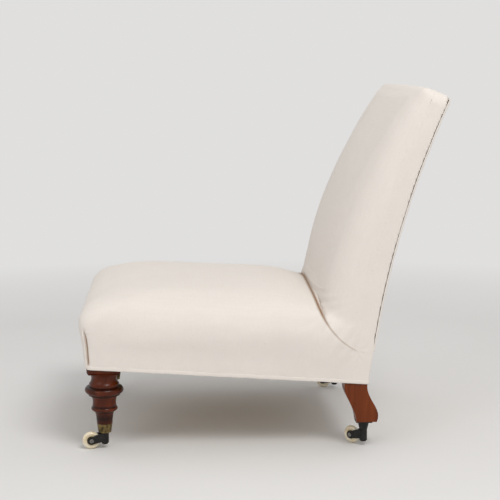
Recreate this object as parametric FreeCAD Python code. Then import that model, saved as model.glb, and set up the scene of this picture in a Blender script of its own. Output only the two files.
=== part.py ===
import FreeCAD, Part
import math
import os

# Slipper chair on castors, in millimetres.
# The front faces -Y, the sitter's left is +X, up is +Z.
# The origin is under the middle of the whole chair, on the floor.

os.makedirs("parts", exist_ok=True)

V = FreeCAD.Vector
X_AXIS = V(1, 0, 0)
Y_AXIS = V(0, 1, 0)
Z_AXIS = V(0, 0, 1)
SIDES = (("left", 1), ("right", -1))

# Seat frame: the lower edge of the cloth is the reference plane, which falls to the rear
hem_front_y = -368.0
hem_front_z = 178.0
hem_slope_deg = 3.89
seat_half_width = 262.0
cloth = 2.0
ease = 0.3
rail_lift = 5.0
rail_height = 72.0
rail_thickness = 26.0

# Front legs
front_block = 70.0
block_below_hem = 14.5
block_chamfer = 5.0
block_corner_radius = 15.0
leg_end_z = 40.0
leg_end_radius = 13.1
neck_radius = 26.5
ring_radius = 40.4
ring_z = 126.5
ring_height = 15.0
vase_radius = 24.3
vase_z = 101.0
bead_radius = 27.6
bead_z = 86.5
bead_height = 9.0
ankle_radius = 18.4
ankle_z = 74.0
fillet_radius = 31.2
fillet_z = 140.5
cove_height = 6.0
cove_lip = 3.0
neck_lip = 5.0
ring_step = 9.0
ring_step_height = 3.0
vase_lip = 3.0
vase_shoulder = 5.0
ankle_lip = 3.0
ankle_run = 8.0

# Rear legs, each in one piece with its back upright
rear_leg_width = 42.0
rear_foot_z = 55.5
foot_front_y = 196.8
foot_depth = 42.4
heel_z = 71.5
heel_bulge = 2.9
knee_y = 170.8
knee_z = 126.0
shin_y = 180.0
shin_z = 102.0
calf_y = 228.0
calf_z = 103.0
upright_depth = 31.0

# Back: its rear face is one long arc that leans more as it climbs
back_foot_y = 221.0
back_foot_z = 137.0
back_middle_y = 277.0
back_middle_z = 441.0
back_top_y = 383.0
back_top_z = 738.0
back_half_width = seat_half_width
side_depth_foot = 62.0
side_depth_top = 36.0
back_corner_radius = 40.0
corner_share = 0.8
crown_foot_y = 125.0
crown_foot_z = 290.0
crown_middle_y = 181.0
crown_middle_z = 500.0
top_thickness = 68.0
crown_top_y = back_top_y - top_thickness
crown_top_rise = 2.0
crown_top_z = back_top_z + crown_top_rise
top_front_radius = 24.0
top_rear_radius = 10.0
top_side_radius = 26.0
top_side_drop = 5.0
back_sections = 7

# Crease between seat and back, seen from the side
crease_top_y = 120.5
crease_top_z = 292.5
crease_middle_y = 151.0
crease_middle_z = 243.0
crease_end_y = 198.0
crease_end_z = 208.0
crease_gap = 0.5

# Back rails and webbing
top_rail_height = 46.0
stay_rail_height = 42.0
stay_rail_z = 300.0
back_web_count = 3
back_web_spacing = 117.0
back_rail_thickness = 24.0
web_thickness = 1.8
web_width = 50.0
sacking = 1.5

# Seat webbing, springs and platform
long_web_spacing = 90.0
long_web_count = 4
cross_web_spacing = 85.0
cross_web_count = 5
cross_web_first = 120.0
web_lap = 14.0
spring_end_radius = 40.0
spring_waist_radius = 27.0
spring_wire = 3.6
spring_half_turns = 10
spring_waisting = 1.5
spring_span_x = 90.0
spring_span_s = 85.0
platform_height = 36.0
platform_inset = 62.0
under_cloth = 1.0

# Fastenings
dowel_radius = 5.0
dowel_length = 44.0
dowel_spacing = 30.0
dowel_stagger = 12.0
screw_radius = 2.0
screw_head_radius = 4.2
screw_head_height = 2.4
screw_length = 34.0
corner_block_leg = 52.0
corner_block_height = 42.0
block_screw_share = 0.65
countersink_radius = 3.4
tack_radius = 0.8
tack_head_radius = 2.8
tack_head = 0.8
tack_length = 10.0
tack_edge = 6.0
tack_spacing = 42.0
hole_ease = 0.05

# Castors: the swivel axis stands on the leg's axis and the wheel trails from it
wheel_radius = 18.5
wheel_width = 11.0
wheel_edge = 4.5
trail = 29.0
bush_radius = 5.0
bush_flange_radius = 9.4
bush_flange = 1.0
axle_radius = 2.5
axle_head_radius = 4.2
axle_head = 1.2
running_gap = 0.05
cheek = 2.6
cheek_gap = 0.4
cheek_end_radius = 7.8
arm_foot_rise = 3.8
arm_top_drop = 2.8
horn_radius = 8.2
horn_low_z = 12.0
horn_top_z = 34.6
rim_gap = 1.4
pintle_radius = 4.0
pintle_foot_radius = 6.2
pintle_foot_z = 9.2
pintle_head_radius = 7.0
pintle_head = 1.6
swivel_gap = 0.4
cup_top_z = 54.0
cup_top_radius = 16.2
cup_low_radius = 13.4
cup_wall = 1.6
cup_floor = 3.0
boss_top_radius = 12.5
plate_half = 17.5
plate_thickness = 3.0
plate_corner = 5.0
plate_screw_offset = 12.0
front_left_turn_deg = -80.0
front_right_turn_deg = -78.0
rear_left_turn_deg = -134.0
rear_right_turn_deg = -115.0

# Values worked out from the ones above
hem_slope = math.radians(hem_slope_deg)
hem_length = (back_foot_y - hem_front_y) / math.cos(hem_slope)
frame_half = seat_half_width - cloth - ease
frame_front_y = hem_front_y + cloth + ease
block_low_z = hem_front_z - block_below_hem
front_leg_x = frame_half - front_block / 2
front_leg_y = frame_front_y + front_block / 2
rear_leg_x = frame_half - rear_leg_width / 2
rear_leg_in = frame_half - rear_leg_width
rear_axis_y = foot_front_y + plate_half
back_slab = cloth + ease
reach = 1000.0
beyond = 100.0
full_turn = 360
CASTORS = (
    ("front", "left", front_leg_x, front_leg_y, front_left_turn_deg),
    ("front", "right", -front_leg_x, front_leg_y, front_right_turn_deg),
    ("rear", "left", rear_leg_x, rear_axis_y, rear_left_turn_deg),
    ("rear", "right", -rear_leg_x, rear_axis_y, rear_right_turn_deg),
)


# Small tools

def box(x0, x1, y0, y1, z0, z1):
    return Part.makeBox(x1 - x0, y1 - y0, z1 - z0, V(x0, y0, z0))


def cylinder(radius, start, end):
    span = end - start
    return Part.makeCylinder(radius, span.Length, start, span)


def cone(radius0, radius1, start, end):
    span = end - start
    return Part.makeCone(radius0, radius1, span.Length, start, span)


def arc(a, b, c):
    return Part.Arc(a, b, c).toShape()


def line(a, b):
    return Part.LineSegment(a, b).toShape()


def chain(points):
    return [line(a, b) for a, b in zip(points, points[1:])]


def polygon(points):
    return Part.makePolygon(list(points) + [points[0]])


def curve(points):
    spline = Part.BSplineCurve()
    spline.interpolate(points)
    return spline.toShape()


def prism_x(edges, x0, x1):
    """A closed side outline at x = 0, swept from x0 to x1."""
    face = Part.Face(Part.Wire(Part.__sortEdges__(edges)))
    face.translate(V(x0, 0, 0))
    return face.extrude(V(x1 - x0, 0, 0))


def side(y, z):
    return V(0, y, z)


def tilt(shape):
    """From the seat's own frame (x, along the hem, above the hem) to the chair's."""
    shape.translate(V(0, hem_front_y, hem_front_z))
    shape.rotate(V(0, hem_front_y, hem_front_z), X_AXIS, -hem_slope_deg)
    return shape


def hem_z(y):
    return hem_front_z - (y - hem_front_y) * math.tan(hem_slope)


def mirror(shape):
    return shape.mirror(V(0, 0, 0), X_AXIS)


def on_side(shape, sign):
    return shape if sign > 0 else mirror(shape)


def group(shapes):
    return Part.makeCompound(shapes)


def save(name, shape):
    shape.exportStep("parts/" + name + ".step")


# The back's curves

def circle_through(a, b, c):
    """Centre (y, z) and radius of the circle through three points (y, z)."""
    d = 2 * (a[0] * (b[1] - c[1]) + b[0] * (c[1] - a[1]) + c[0] * (a[1] - b[1]))
    squares = [p[0] ** 2 + p[1] ** 2 for p in (a, b, c)]
    y = (squares[0] * (b[1] - c[1]) + squares[1] * (c[1] - a[1]) + squares[2] * (a[1] - b[1])) / d
    z = (squares[0] * (c[0] - b[0]) + squares[1] * (a[0] - c[0]) + squares[2] * (b[0] - a[0])) / d
    return y, z, math.hypot(a[0] - y, a[1] - z)


rear_arc = circle_through((back_foot_y, back_foot_z), (back_middle_y, back_middle_z),
                          (back_top_y, back_top_z))
crown_arc = circle_through((crown_foot_y, crown_foot_z), (crown_middle_y, crown_middle_z),
                           (crown_top_y, crown_top_z))


def arc_y(circle, z, depth=0.0):
    """Where a back curve, moved forward by depth, stands at height z."""
    return circle[0] - math.sqrt((circle[2] + depth) ** 2 - (z - circle[1]) ** 2)


def back_point(z, depth):
    """The point that lies depth in front of the rear face, square to it, at its height z."""
    y = arc_y(rear_arc, z)
    out_y = (y - rear_arc[0]) / rear_arc[2]
    out_z = (z - rear_arc[1]) / rear_arc[2]
    return side(y + out_y * depth, z + out_z * depth)


def back_layer(depth0, depth1, z0, z1, x0, x1):
    """A curved slab that follows the back between two depths and two heights."""
    z_middle = (z0 + z1) / 2
    near = [back_point(z, depth0) for z in (z0, z_middle, z1)]
    far = [back_point(z, depth1) for z in (z0, z_middle, z1)]
    edges = [arc(*near), line(near[2], far[2]), arc(*reversed(far)), line(far[0], near[0])]
    return prism_x(edges, x0, x1)


# Soft forms

def rounded_plan(h, front, rear, half, front_radius, rear_radius):
    """A rounded rectangle in the seat's own frame at height h."""
    corners = ((half, rear, 0, rear_radius), (-half, rear, 90, rear_radius),
               (-half, front, 180, front_radius), (half, front, 270, front_radius))
    arcs = []
    for x, s, start, radius in corners:
        cx = x - math.copysign(radius, x)
        cs = s - radius if s == rear else s + radius
        points = []
        for step in (0, 45, 90):
            a = math.radians(start + step)
            points.append(V(cx + radius * math.cos(a), cs + radius * math.sin(a), h))
        arcs.append(points)
    edges = []
    for i, points in enumerate(arcs):
        edges.append(arc(*points))
        edges.append(line(points[2], arcs[(i + 1) % len(arcs)][0]))
    return Part.Wire(edges)


# Seat levels: height above the hem, then how far the front, the rear and each side stand
# proud of the hem outline (negative is drawn in), and the front and rear corner radii
SEAT_LEVELS = (
    (0.0, 0.0, 0.0, 0.0, 16.0, 2.0),
    (30.0, 6.0, 2.0, 1.5, 20.0, 2.0),
    (60.0, 13.0, 3.6, 4.0, 26.0, 2.0),
    (85.0, 18.0, 5.0, 6.0, 32.0, 2.0),
    (105.0, 18.0, -4.0, 4.5, 38.0, 10.0),
    (122.0, 10.0, -34.0, -1.5, 46.0, 30.0),
    (136.0, -3.0, -72.0, -11.0, 56.0, 50.0),
    (147.0, -26.0, -108.0, -26.0, 66.0, 66.0),
    (156.0, -60.0, -146.0, -48.0, 76.0, 76.0),
    (163.0, -105.0, -190.0, -78.0, 80.0, 80.0),
    (168.5, -165.0, -240.0, -122.0, 80.0, 80.0),
    (171.5, -222.0, -288.0, -180.0, 36.0, 36.0),
)


def seat_form(inset):
    """The crowned seat, drawn in all round by inset, standing on the plane of the hem."""
    wires = []
    for h, front, rear, half, front_radius, rear_radius in SEAT_LEVELS:
        wires.append(rounded_plan(max(h - inset, 0.0),
                                  inset - front, hem_length + rear - inset,
                                  seat_half_width + half - inset,
                                  front_radius - inset / 2, rear_radius - inset / 2))
    return tilt(Part.makeLoft(wires, True, False))


def padded_section(z, half, rear, edge, crown, radius):
    """A level slice of the back: flat behind, straight sides, rounded corners, crowned front."""
    depth = edge - crown
    run = half - radius
    big = (run ** 2 + depth ** 2 - radius ** 2) / (2 * (depth - radius))
    centre_y = crown + big
    span = math.hypot(run, edge - centre_y)
    touch_x = big * run / span
    touch_y = centre_y + big * (edge - centre_y) / span
    half_turn = math.atan2(centre_y - edge, run) / 2
    mid_x = run + radius * math.cos(half_turn)
    mid_y = edge - radius * math.sin(half_turn)
    left = [V(half, edge, z), V(mid_x, mid_y, z), V(touch_x, touch_y, z)]
    right = [V(-p.x, p.y, z) for p in reversed(left)]
    edges = [
        line(V(-half, rear, z), V(half, rear, z)),
        line(V(half, rear, z), left[0]),
        arc(*left),
        arc(left[2], V(0, crown, z), right[0]),
        arc(*right),
        line(right[2], V(-half, rear, z)),
    ]
    return Part.Wire(edges)


def crease_points(gap):
    """Three points of the crease, moved away from the back by gap."""
    away = V(0, -gap * math.sqrt(0.5), -gap * math.sqrt(0.5))
    return [
        side(crease_top_y, crease_top_z) + away,
        side(crease_middle_y, crease_middle_z) + away,
        side(crease_end_y, crease_end_z) + away,
    ]


def back_axes(inset):
    """The back's rear top corner, with its directions up along the back and out to the front."""
    corner = back_point(back_top_z, inset)
    up = (corner - back_point(back_top_z - 1, inset)).normalize()
    out = V(0, -up.z, up.y)
    return corner - up * inset, up, out


def side_mask(inset, gap):
    """The back seen from the side: crease below, rounded square top, open to front and rear."""
    top, middle, end = crease_points(gap)
    corner, up, out = back_axes(inset)
    corner = corner - out * ease
    depth = (side(crown_top_y, crown_top_z) - corner).dot(out) - inset + ease
    front = corner + out * depth
    rear_centre = corner + (out - up) * top_rear_radius
    front_centre = front - (out + up) * top_front_radius
    rear_a = corner - up * top_rear_radius
    rear_b = corner + out * top_rear_radius
    rear_mid = rear_centre + (up - out).normalize() * top_rear_radius
    front_a = front - out * top_front_radius
    front_b = front - up * top_front_radius
    front_mid = front_centre + (up + out).normalize() * top_front_radius
    far_rear = back_top_y + 2 * beyond
    far_front = crease_top_y - 2 * beyond
    edges = [
        arc(top, middle, end),
        arc(rear_a, rear_mid, rear_b),
        line(rear_b, front_a),
        arc(front_a, front_mid, front_b),
    ]
    edges += chain([
        end,
        side(far_rear, end.z - (far_rear - end.y) * math.tan(hem_slope)),
        side(far_rear, rear_a.z),
        rear_a,
    ])
    edges += chain([
        front_b,
        side(far_front, front_b.z),
        side(far_front, top.z + (top.y - far_front)),
        top,
    ])
    return prism_x(edges, -reach / 2, reach / 2)


def front_mask(inset):
    """The back seen from the front: upright sides and a slightly arched, round-cornered top."""
    corner, up, out = back_axes(inset)
    half = back_half_width - inset + ease
    start = corner - out * reach

    def at(x, u):
        return start + V(x, 0, 0) + up * u

    low = -reach
    shoulder = -top_side_drop - top_side_radius
    knuckle = top_side_radius * (1 - math.sqrt(0.5))
    edges = [
        line(at(-half, low), at(half, low)),
        line(at(half, low), at(half, shoulder)),
        arc(at(half, shoulder), at(half - knuckle, -top_side_drop - knuckle),
            at(half - top_side_radius, -top_side_drop)),
        arc(at(half - top_side_radius, -top_side_drop), at(0, 0),
            at(top_side_radius - half, -top_side_drop)),
        arc(at(top_side_radius - half, -top_side_drop),
            at(knuckle - half, -top_side_drop - knuckle), at(-half, shoulder)),
        line(at(-half, shoulder), at(-half, low)),
    ]
    face = Part.Face(Part.Wire(edges))
    return face.extrude(out * (2 * reach))


def side_depth(z):
    """How much of the back's side is straight, from its rear edge, at height z."""
    share = (z - back_foot_z) / (back_top_z - back_foot_z)
    return side_depth_foot + (side_depth_top - side_depth_foot) * share


def back_form(inset, gap=0.0, open_behind=0.0):
    """The padded back, drawn in all round by inset."""
    wires = []
    low = crease_end_z - top_front_radius
    high = back_top_z + top_front_radius
    for i in range(back_sections):
        z = low + i * (high - low) / (back_sections - 1)
        rear = arc_y(rear_arc, z)
        edge = rear - side_depth(z)
        crown = arc_y(crown_arc, max(z, crown_foot_z)) + inset
        radius = min(back_corner_radius, corner_share * (edge - crown))
        wires.append(padded_section(z, back_half_width - inset, rear - inset + open_behind, edge,
                                    crown, radius))
    bounds = side_mask(inset, gap).common(front_mask(inset))
    return Part.makeLoft(wires, True, False).common(bounds)


# Fastenings that other pieces are drilled for

def rail_joints():
    """Each dowelled joint face: its centre, the dowels' direction and how they are spread."""
    front_z = hem_z(frame_front_y) + rail_lift + rail_height / 2
    rear_y = rear_rail_y()
    rear_z = hem_z(rear_y) + rail_lift + rail_height / 2
    side_x = frame_half - rail_thickness / 2
    block_rear_y = frame_front_y + front_block
    spread = tuple(V(0, 0, side * dowel_spacing / 2) for side in (-1, 1))
    joints = []
    for sign in (-1, 1):
        front_x = sign * (frame_half - front_block)
        joints.append((V(front_x, frame_front_y + rail_thickness / 2, front_z), X_AXIS, spread))
        joints.append((V(sign * rear_leg_in, rear_y, rear_z), X_AXIS, spread))
        stagger = V(0, 0, dowel_stagger - dowel_spacing / 2)
        front_end = V(sign * side_x, block_rear_y, hem_z(block_rear_y) + rail_lift + rail_height / 2)
        rear_end_y = leg_front_y(rear_z)
        rear_end = V(sign * side_x, rear_end_y, hem_z(rear_end_y) + rail_lift + rail_height / 2)
        joints.append((front_end + stagger, Y_AXIS, spread))
        joints.append((rear_end + stagger, Y_AXIS, spread))
        for z, height in ((stay_rail_z, stay_rail_height), (top_rail_z(), top_rail_height)):
            middle = back_point(z + height / 2, back_slab + upright_depth / 2)
            joints.append((V(sign * rear_leg_in, middle.y, middle.z), X_AXIS,
                           tuple(V(0, 0, side * height / 4) for side in (-1, 1))))
    return joints


def dowels(ease_round):
    shapes = []
    for centre, along, spread in rail_joints():
        for shift in spread:
            start = centre + shift - along * (dowel_length / 2 + ease_round)
            end = centre + shift + along * (dowel_length / 2 + ease_round)
            shapes.append(cylinder(dowel_radius + ease_round, start, end))
    return shapes


def rear_rail_y():
    """The middle of the rear rail, flush with the rear of the legs at its lower edge."""
    return back_foot_y - back_slab - rail_thickness / 2


def leg_front_y(z):
    """The front of the rear leg between knee and back, at height z."""
    low = knee_y
    high = back_point(crease_end_z + rail_height / 2, back_slab + upright_depth).y
    share = (z - knee_z) / (crease_end_z + rail_height / 2 - knee_z)
    return low + (high - low) * share


def top_rail_z():
    return back_top_z - top_rear_radius - top_rail_height


# Frame pieces

def front_leg():
    """A square block in the frame's corner over a turned leg with a ring, a vase and a bead."""
    ring_low = ring_z - ring_height / 2
    ring_high = ring_z + ring_height / 2
    bead_low = bead_z - bead_height / 2
    bead_high = bead_z + bead_height / 2
    socket_radius = cup_top_radius - cup_wall - running_gap
    shoulder_z = cup_top_z
    shoulder_low = ring_low - vase_shoulder
    step_radius = vase_radius + ring_step
    step_low = ring_low - ring_step_height
    cove_top = block_low_z - block_chamfer / 2
    outline = [
        line(V(0, 0, leg_end_z), V(leg_end_radius - cup_wall, 0, leg_end_z)),
        line(V(leg_end_radius - cup_wall, 0, leg_end_z), V(socket_radius, 0, shoulder_z)),
        line(V(socket_radius, 0, shoulder_z), V(cup_top_radius, 0, shoulder_z + ease)),
        curve([V(cup_top_radius, 0, shoulder_z + ease), V(ankle_radius - 1, 0, ankle_z - ankle_run),
               V(ankle_radius, 0, ankle_z)]),
        line(V(ankle_radius, 0, ankle_z), V(ankle_radius + ankle_lip, 0, bead_low)),
        arc(V(ankle_radius + ankle_lip, 0, bead_low), V(bead_radius, 0, bead_z),
            V(vase_radius + 1, 0, bead_high)),
        curve([V(vase_radius + 1, 0, bead_high), V(vase_radius, 0, vase_z),
               V(vase_radius + vase_lip, 0, shoulder_low)]),
        line(V(vase_radius + vase_lip, 0, shoulder_low), V(step_radius, 0, step_low)),
        line(V(step_radius, 0, step_low), V(step_radius, 0, ring_low)),
        arc(V(step_radius, 0, ring_low), V(ring_radius, 0, ring_z), V(fillet_radius, 0, ring_high)),
        line(V(fillet_radius, 0, ring_high), V(fillet_radius, 0, fillet_z)),
        arc(V(fillet_radius, 0, fillet_z), V(neck_radius + 1, 0, fillet_z + cove_height),
            V(neck_radius + cove_lip, 0, cove_top)),
        line(V(neck_radius + cove_lip, 0, cove_top), V(neck_radius + neck_lip, 0, block_low_z + 1)),
        line(V(neck_radius + neck_lip, 0, block_low_z + 1), V(0, 0, block_low_z + 1)),
        line(V(0, 0, block_low_z + 1), V(0, 0, leg_end_z)),
    ]
    turned = Part.Face(Part.Wire(outline)).revolve(V(0, 0, 0), Z_AXIS, full_turn)
    half = front_block / 2
    top_z = hem_front_z + rail_lift + rail_height
    block = box(-half, half, -half, half, block_low_z, top_z)
    low_edges = [e for e in block.Edges if e.BoundBox.ZMax < block_low_z + ease]
    block = block.makeChamfer(block_chamfer, low_edges)
    corner = side_corner_room(half, block_corner_radius, top_z)
    block = block.cut(corner)
    leg = turned.fuse(block).removeSplitter()
    leg.translate(V(front_leg_x, front_leg_y, 0))
    above = tilt(box(-reach, reach, -reach, reach, rail_lift + rail_height, reach))
    leg = leg.cut(above)
    pin_space = cylinder(pintle_head_radius + ease, V(front_leg_x, front_leg_y, leg_end_z - ease),
                         V(front_leg_x, front_leg_y, leg_end_z + ease))
    return leg.cut(group(dowels(hole_ease))).cut(pin_space)


def side_corner_room(half, radius, top_z):
    """What is rounded off the block's outer front corner."""
    square = box(half - radius, half, -half, radius - half, 0, top_z)
    return square.cut(cylinder(radius, V(half - radius, radius - half, 0),
                               V(half - radius, radius - half, top_z)))


def rear_leg():
    """The sabre leg that runs up into the back upright."""
    depth = back_slab + upright_depth
    back_low = crease_end_z + rail_height / 2
    top = top_rail_z() + top_rail_height
    front = [back_point(z, depth) for z in (back_low, (back_low + top) / 2, top)]
    rear = [back_point(z, back_slab) for z in (back_foot_z, (back_foot_z + top) / 2, top)]
    hem_rear = rear[0]
    foot_rear_y = foot_front_y + foot_depth
    rear_sweep = curve([
        hem_rear,
        side(hem_rear.y + ease, knee_z),
        side(calf_y, calf_z),
        side(foot_rear_y + heel_bulge, heel_z),
        side(foot_rear_y, rear_foot_z),
    ])
    front_sweep = curve([
        side(foot_front_y, rear_foot_z),
        side(foot_front_y - heel_bulge, heel_z),
        side(shin_y, shin_z),
        side(knee_y, knee_z),
        side(knee_y, back_foot_z),
    ])
    edges = [
        arc(*rear),
        line(rear[2], front[2]),
        arc(*reversed(front)),
        line(front[0], side(knee_y, back_foot_z)),
        front_sweep,
        line(side(foot_front_y, rear_foot_z), side(foot_rear_y, rear_foot_z)),
        rear_sweep,
    ]
    return prism_x(edges, rear_leg_in, frame_half).common(front_mask(back_slab))


def leg_space(sign):
    """The front leg's block and everything above it, for cutting the rails to length."""
    x0, x1 = sorted((sign * (frame_half - front_block), sign * reach))
    return box(x0, x1, -reach, frame_front_y + front_block, 0, reach)


def rear_leg_space(sign):
    return on_side(rear_leg(), sign)


def front_rail():
    rail = tilt(box(-frame_half, frame_half, back_slab, back_slab + rail_thickness,
                    rail_lift, rail_lift + rail_height))
    rail = rail.cut(group([leg_space(1), leg_space(-1)]))
    return rail.cut(group(dowels(hole_ease) + hem_tacks(hole_ease)))


def side_rail(sign):
    inner = frame_half - rail_thickness
    rail = tilt(box(inner, frame_half, 0, hem_length, rail_lift, rail_lift + rail_height))
    behind = box(0, reach, rear_rail_y(), reach, 0, reach)
    rail = rail.cut(group([leg_space(1), rear_leg(), behind]))
    rail = on_side(max(rail.Solids, key=lambda solid: solid.Volume), sign)
    holes = dowels(hole_ease) + hem_tacks(hole_ease) + block_screws(hole_ease)
    return rail.cut(group(holes))


def rear_rail():
    y = rear_rail_y()
    rail = tilt(box(-rear_leg_in, rear_leg_in, 0, hem_length, rail_lift, rail_lift + rail_height))
    rail = rail.common(box(-reach, reach, y - rail_thickness / 2, y + rail_thickness / 2, 0, reach))
    return rail.cut(group(dowels(hole_ease) + hem_tacks(hole_ease) + block_screws(hole_ease)))


def back_rail(z, height):
    """A rail between the uprights, flush with their rear faces."""
    rail = back_layer(back_slab, back_slab + back_rail_thickness, z, z + height,
                      -rear_leg_in, rear_leg_in)
    return rail.cut(group(dowels(hole_ease) + back_tacks(hole_ease)))


def rear_upright(sign):
    holes = dowels(hole_ease) + back_tacks(hole_ease) + hem_tacks(hole_ease)
    return rear_leg_space(sign).cut(group(holes + plate_screws(hole_ease)))


# Corner blocks behind the rear corners, with their screws

def block_corner(sign):
    """The inner corner between a side rail and the rear rail."""
    return sign * (frame_half - rail_thickness), rear_rail_y() - rail_thickness / 2


def corner_blocks():
    blocks = []
    for _, sign in SIDES:
        x, y = block_corner(sign)
        z = hem_z(y - corner_block_leg) + rail_lift + corner_block_height / 4
        points = [V(x, y, z), V(x - sign * corner_block_leg, y, z), V(x, y - corner_block_leg, z)]
        block = Part.Face(polygon(points)).extrude(V(0, 0, corner_block_height))
        block = block.cut(rear_leg_space(sign))
        blocks.append(block.cut(group(block_screws(hole_ease))))
    return blocks


def block_screws(ease_round):
    """One screw from each corner block into the side rail and one into the rear rail."""
    screws = []
    for _, sign in SIDES:
        x, y = block_corner(sign)
        z = hem_z(y - corner_block_leg) + rail_lift + corner_block_height * 3 / 4
        setback = corner_block_leg * block_screw_share
        depth = corner_block_leg - setback
        for start, along in ((V(x - sign * depth, y - setback, z), V(sign, 0, 0)),
                             (V(x - sign * setback, y - depth, z), V(0, 1, 0))):
            seat = start + along * screw_head_height
            end = start + along * screw_length
            outside = start - along * depth if ease_round else start
            head = cylinder(screw_head_radius + ease_round, outside, seat)
            shank = cylinder(screw_radius + ease_round, seat, end + along * ease_round)
            screws.append(head.fuse(shank))
    return screws


# Tacks

def tack(point, along, ease_round):
    """A domed head on the cloth and a shank behind it; along points into the wood."""
    shank = cylinder(tack_radius + ease_round, point, point + along * (tack_length + ease_round))
    if ease_round:
        return shank
    head = cylinder(tack_head_radius, point - along * tack_head, point)
    return shank.fuse(head)


def spaced(start, end, spacing):
    """Even places from start to end, about spacing apart."""
    count = max(1, round(abs(end - start) / spacing))
    return [start + (end - start) * i / count for i in range(count + 1)]


def hem_tacks(ease_round=0.0):
    """Tacks through the cloth under the seat into the rails."""
    half = frame_half - tack_edge
    front_s = back_slab + tack_edge
    rear_s = hem_length - back_slab - tack_edge
    block = front_block + 2 * tack_edge
    places = [(x, front_s) for x in spaced(-frame_half + block, frame_half - block, tack_spacing)]
    places += [(x, rear_s) for x in spaced(-rear_leg_in + 2 * tack_edge, rear_leg_in - 2 * tack_edge,
                                           tack_spacing)]
    for s in spaced(front_s + block, rear_s - block, tack_spacing):
        places += [(half, s), (-half, s)]
    into = V(0, math.sin(hem_slope), math.cos(hem_slope))
    return [tack(seat_point(x, s, rail_lift - under_cloth), into, ease_round) for x, s in places]


def seat_point(x, s, h):
    """A point given in the seat's own frame."""
    y = hem_front_y + s * math.cos(hem_slope) + h * math.sin(hem_slope)
    z = hem_front_z - s * math.sin(hem_slope) + h * math.cos(hem_slope)
    return V(x, y, z)


def back_tacks(ease_round=0.0):
    """Tacks round the rear of the back, through the outside back into uprights and rails."""
    half = frame_half - tack_edge
    low = crease_end_z + rail_lift + 2 * tack_edge
    high = top_rail_z() + top_rail_height - 2 * tack_edge
    places = [(half, z) for z in spaced(low, high, tack_spacing)]
    places += [(-x, z) for x, z in places]
    places += [(x, high) for x in spaced(-rear_leg_in + 2 * tack_edge, rear_leg_in - 2 * tack_edge,
                                         tack_spacing)]
    tacks = []
    for x, z in places:
        outer = back_point(z, back_slab - under_cloth - ease)
        into = (back_point(z, back_slab) - outer).normalize()
        tacks.append(tack(V(x, outer.y, outer.z), into, ease_round))
    return tacks


# Seat: webbing, springs, platform, stuffing, cover and the cloth below

def seat_webbing_long():
    strips = []
    first = -long_web_spacing * (long_web_count - 1) / 2
    low = rail_lift - 2 * web_thickness
    for i in range(long_web_count):
        x = first + i * long_web_spacing
        strips.append(tilt(box(x - web_width / 2, x + web_width / 2, back_slab + web_lap,
                               hem_length - back_slab - web_lap, low, low + web_thickness)))
    return strips


def seat_webbing_cross():
    strips = []
    half = frame_half - web_lap
    low = rail_lift - web_thickness
    for i in range(cross_web_count):
        s = cross_web_first + i * cross_web_spacing
        strips.append(tilt(box(-half, half, s - web_width / 2, s + web_width / 2, low, rail_lift)))
    return strips


def spring_radii():
    """Coil radii, half turn by half turn: wide closed ends and a narrow waist."""
    radii = []
    for i in range(spring_half_turns + 1):
        share = abs(2 * i / spring_half_turns - 1)
        flare = (spring_end_radius - spring_waist_radius) * share ** spring_waisting
        radii.append(spring_waist_radius + flare)
    return radii


def spring():
    """One upholstery spring, standing on h = 0, wound from half circles."""
    height = spring_height()
    radii = spring_radii()
    rise = (height - spring_wire) / spring_half_turns
    z = spring_wire / 2
    edges = []
    for i in range(spring_half_turns):
        a, b = radii[i], radii[i + 1]
        way = 1 if i % 2 == 0 else -1
        middle = V(way * (a - b) / 2, way * (a + b) / 2, z + rise / 2)
        edges.append(arc(V(way * a, 0, z), middle, V(-way * b, 0, z + rise)))
        z += rise
    section = Part.Wire(Part.makeCircle(spring_wire / 2, V(radii[0], 0, spring_wire / 2), Y_AXIS))
    return Part.Wire(edges).makePipeShell([section], True, False)


def spring_height():
    return rail_height + platform_height - sacking - 2 * ease


def seat_springs():
    middle_s = cross_web_first + (cross_web_count - 1) * cross_web_spacing / 2
    places = [(0, middle_s)]
    for x in (-spring_span_x, spring_span_x):
        for s in (middle_s - spring_span_s, middle_s + spring_span_s):
            places.append((x, s))
    coils = []
    for x, s in places:
        coil = spring()
        coil.translate(V(x, s, rail_lift + ease))
        coils.append(tilt(coil))
    return coils


def platform(inset):
    """The sacking over the springs: a low flat-topped mound from the rails' upper faces."""
    foot = rail_lift + rail_height
    top = foot + platform_height
    edge = rail_thickness / 2
    wires = []
    for h, inwards in ((foot, 0.0), (top - inset, platform_inset)):
        x = frame_half - edge - inwards - inset
        s0 = back_slab + edge + inwards + inset
        s1 = crease_rear_s() - inwards - inset
        wires.append(polygon([V(x, s0, h), V(x, s1, h), V(-x, s1, h), V(-x, s0, h)]))
    return tilt(Part.makeLoft(wires, True, True))


def crease_rear_s():
    """How far back the platform reaches: just in front of the back's crease."""
    return (crease_middle_y - hem_front_y) / math.cos(hem_slope)


def seat_platform():
    return platform(0.0).cut(platform(sacking))


def seat_stuffing():
    above_rails = tilt(box(-reach, reach, -reach, reach, rail_lift + rail_height + ease, reach))
    filling = seat_form(cloth + ease).common(above_rails)
    grown = platform(-ease)
    return filling.cut(side_mask(-beyond, crease_gap + cloth)).cut(grown)


def seat_cover():
    shell = seat_form(0.0).cut(seat_form(cloth))
    shell = shell.cut(side_mask(-beyond, crease_gap))
    return max(shell.Solids, key=lambda solid: solid.Volume)


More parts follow.
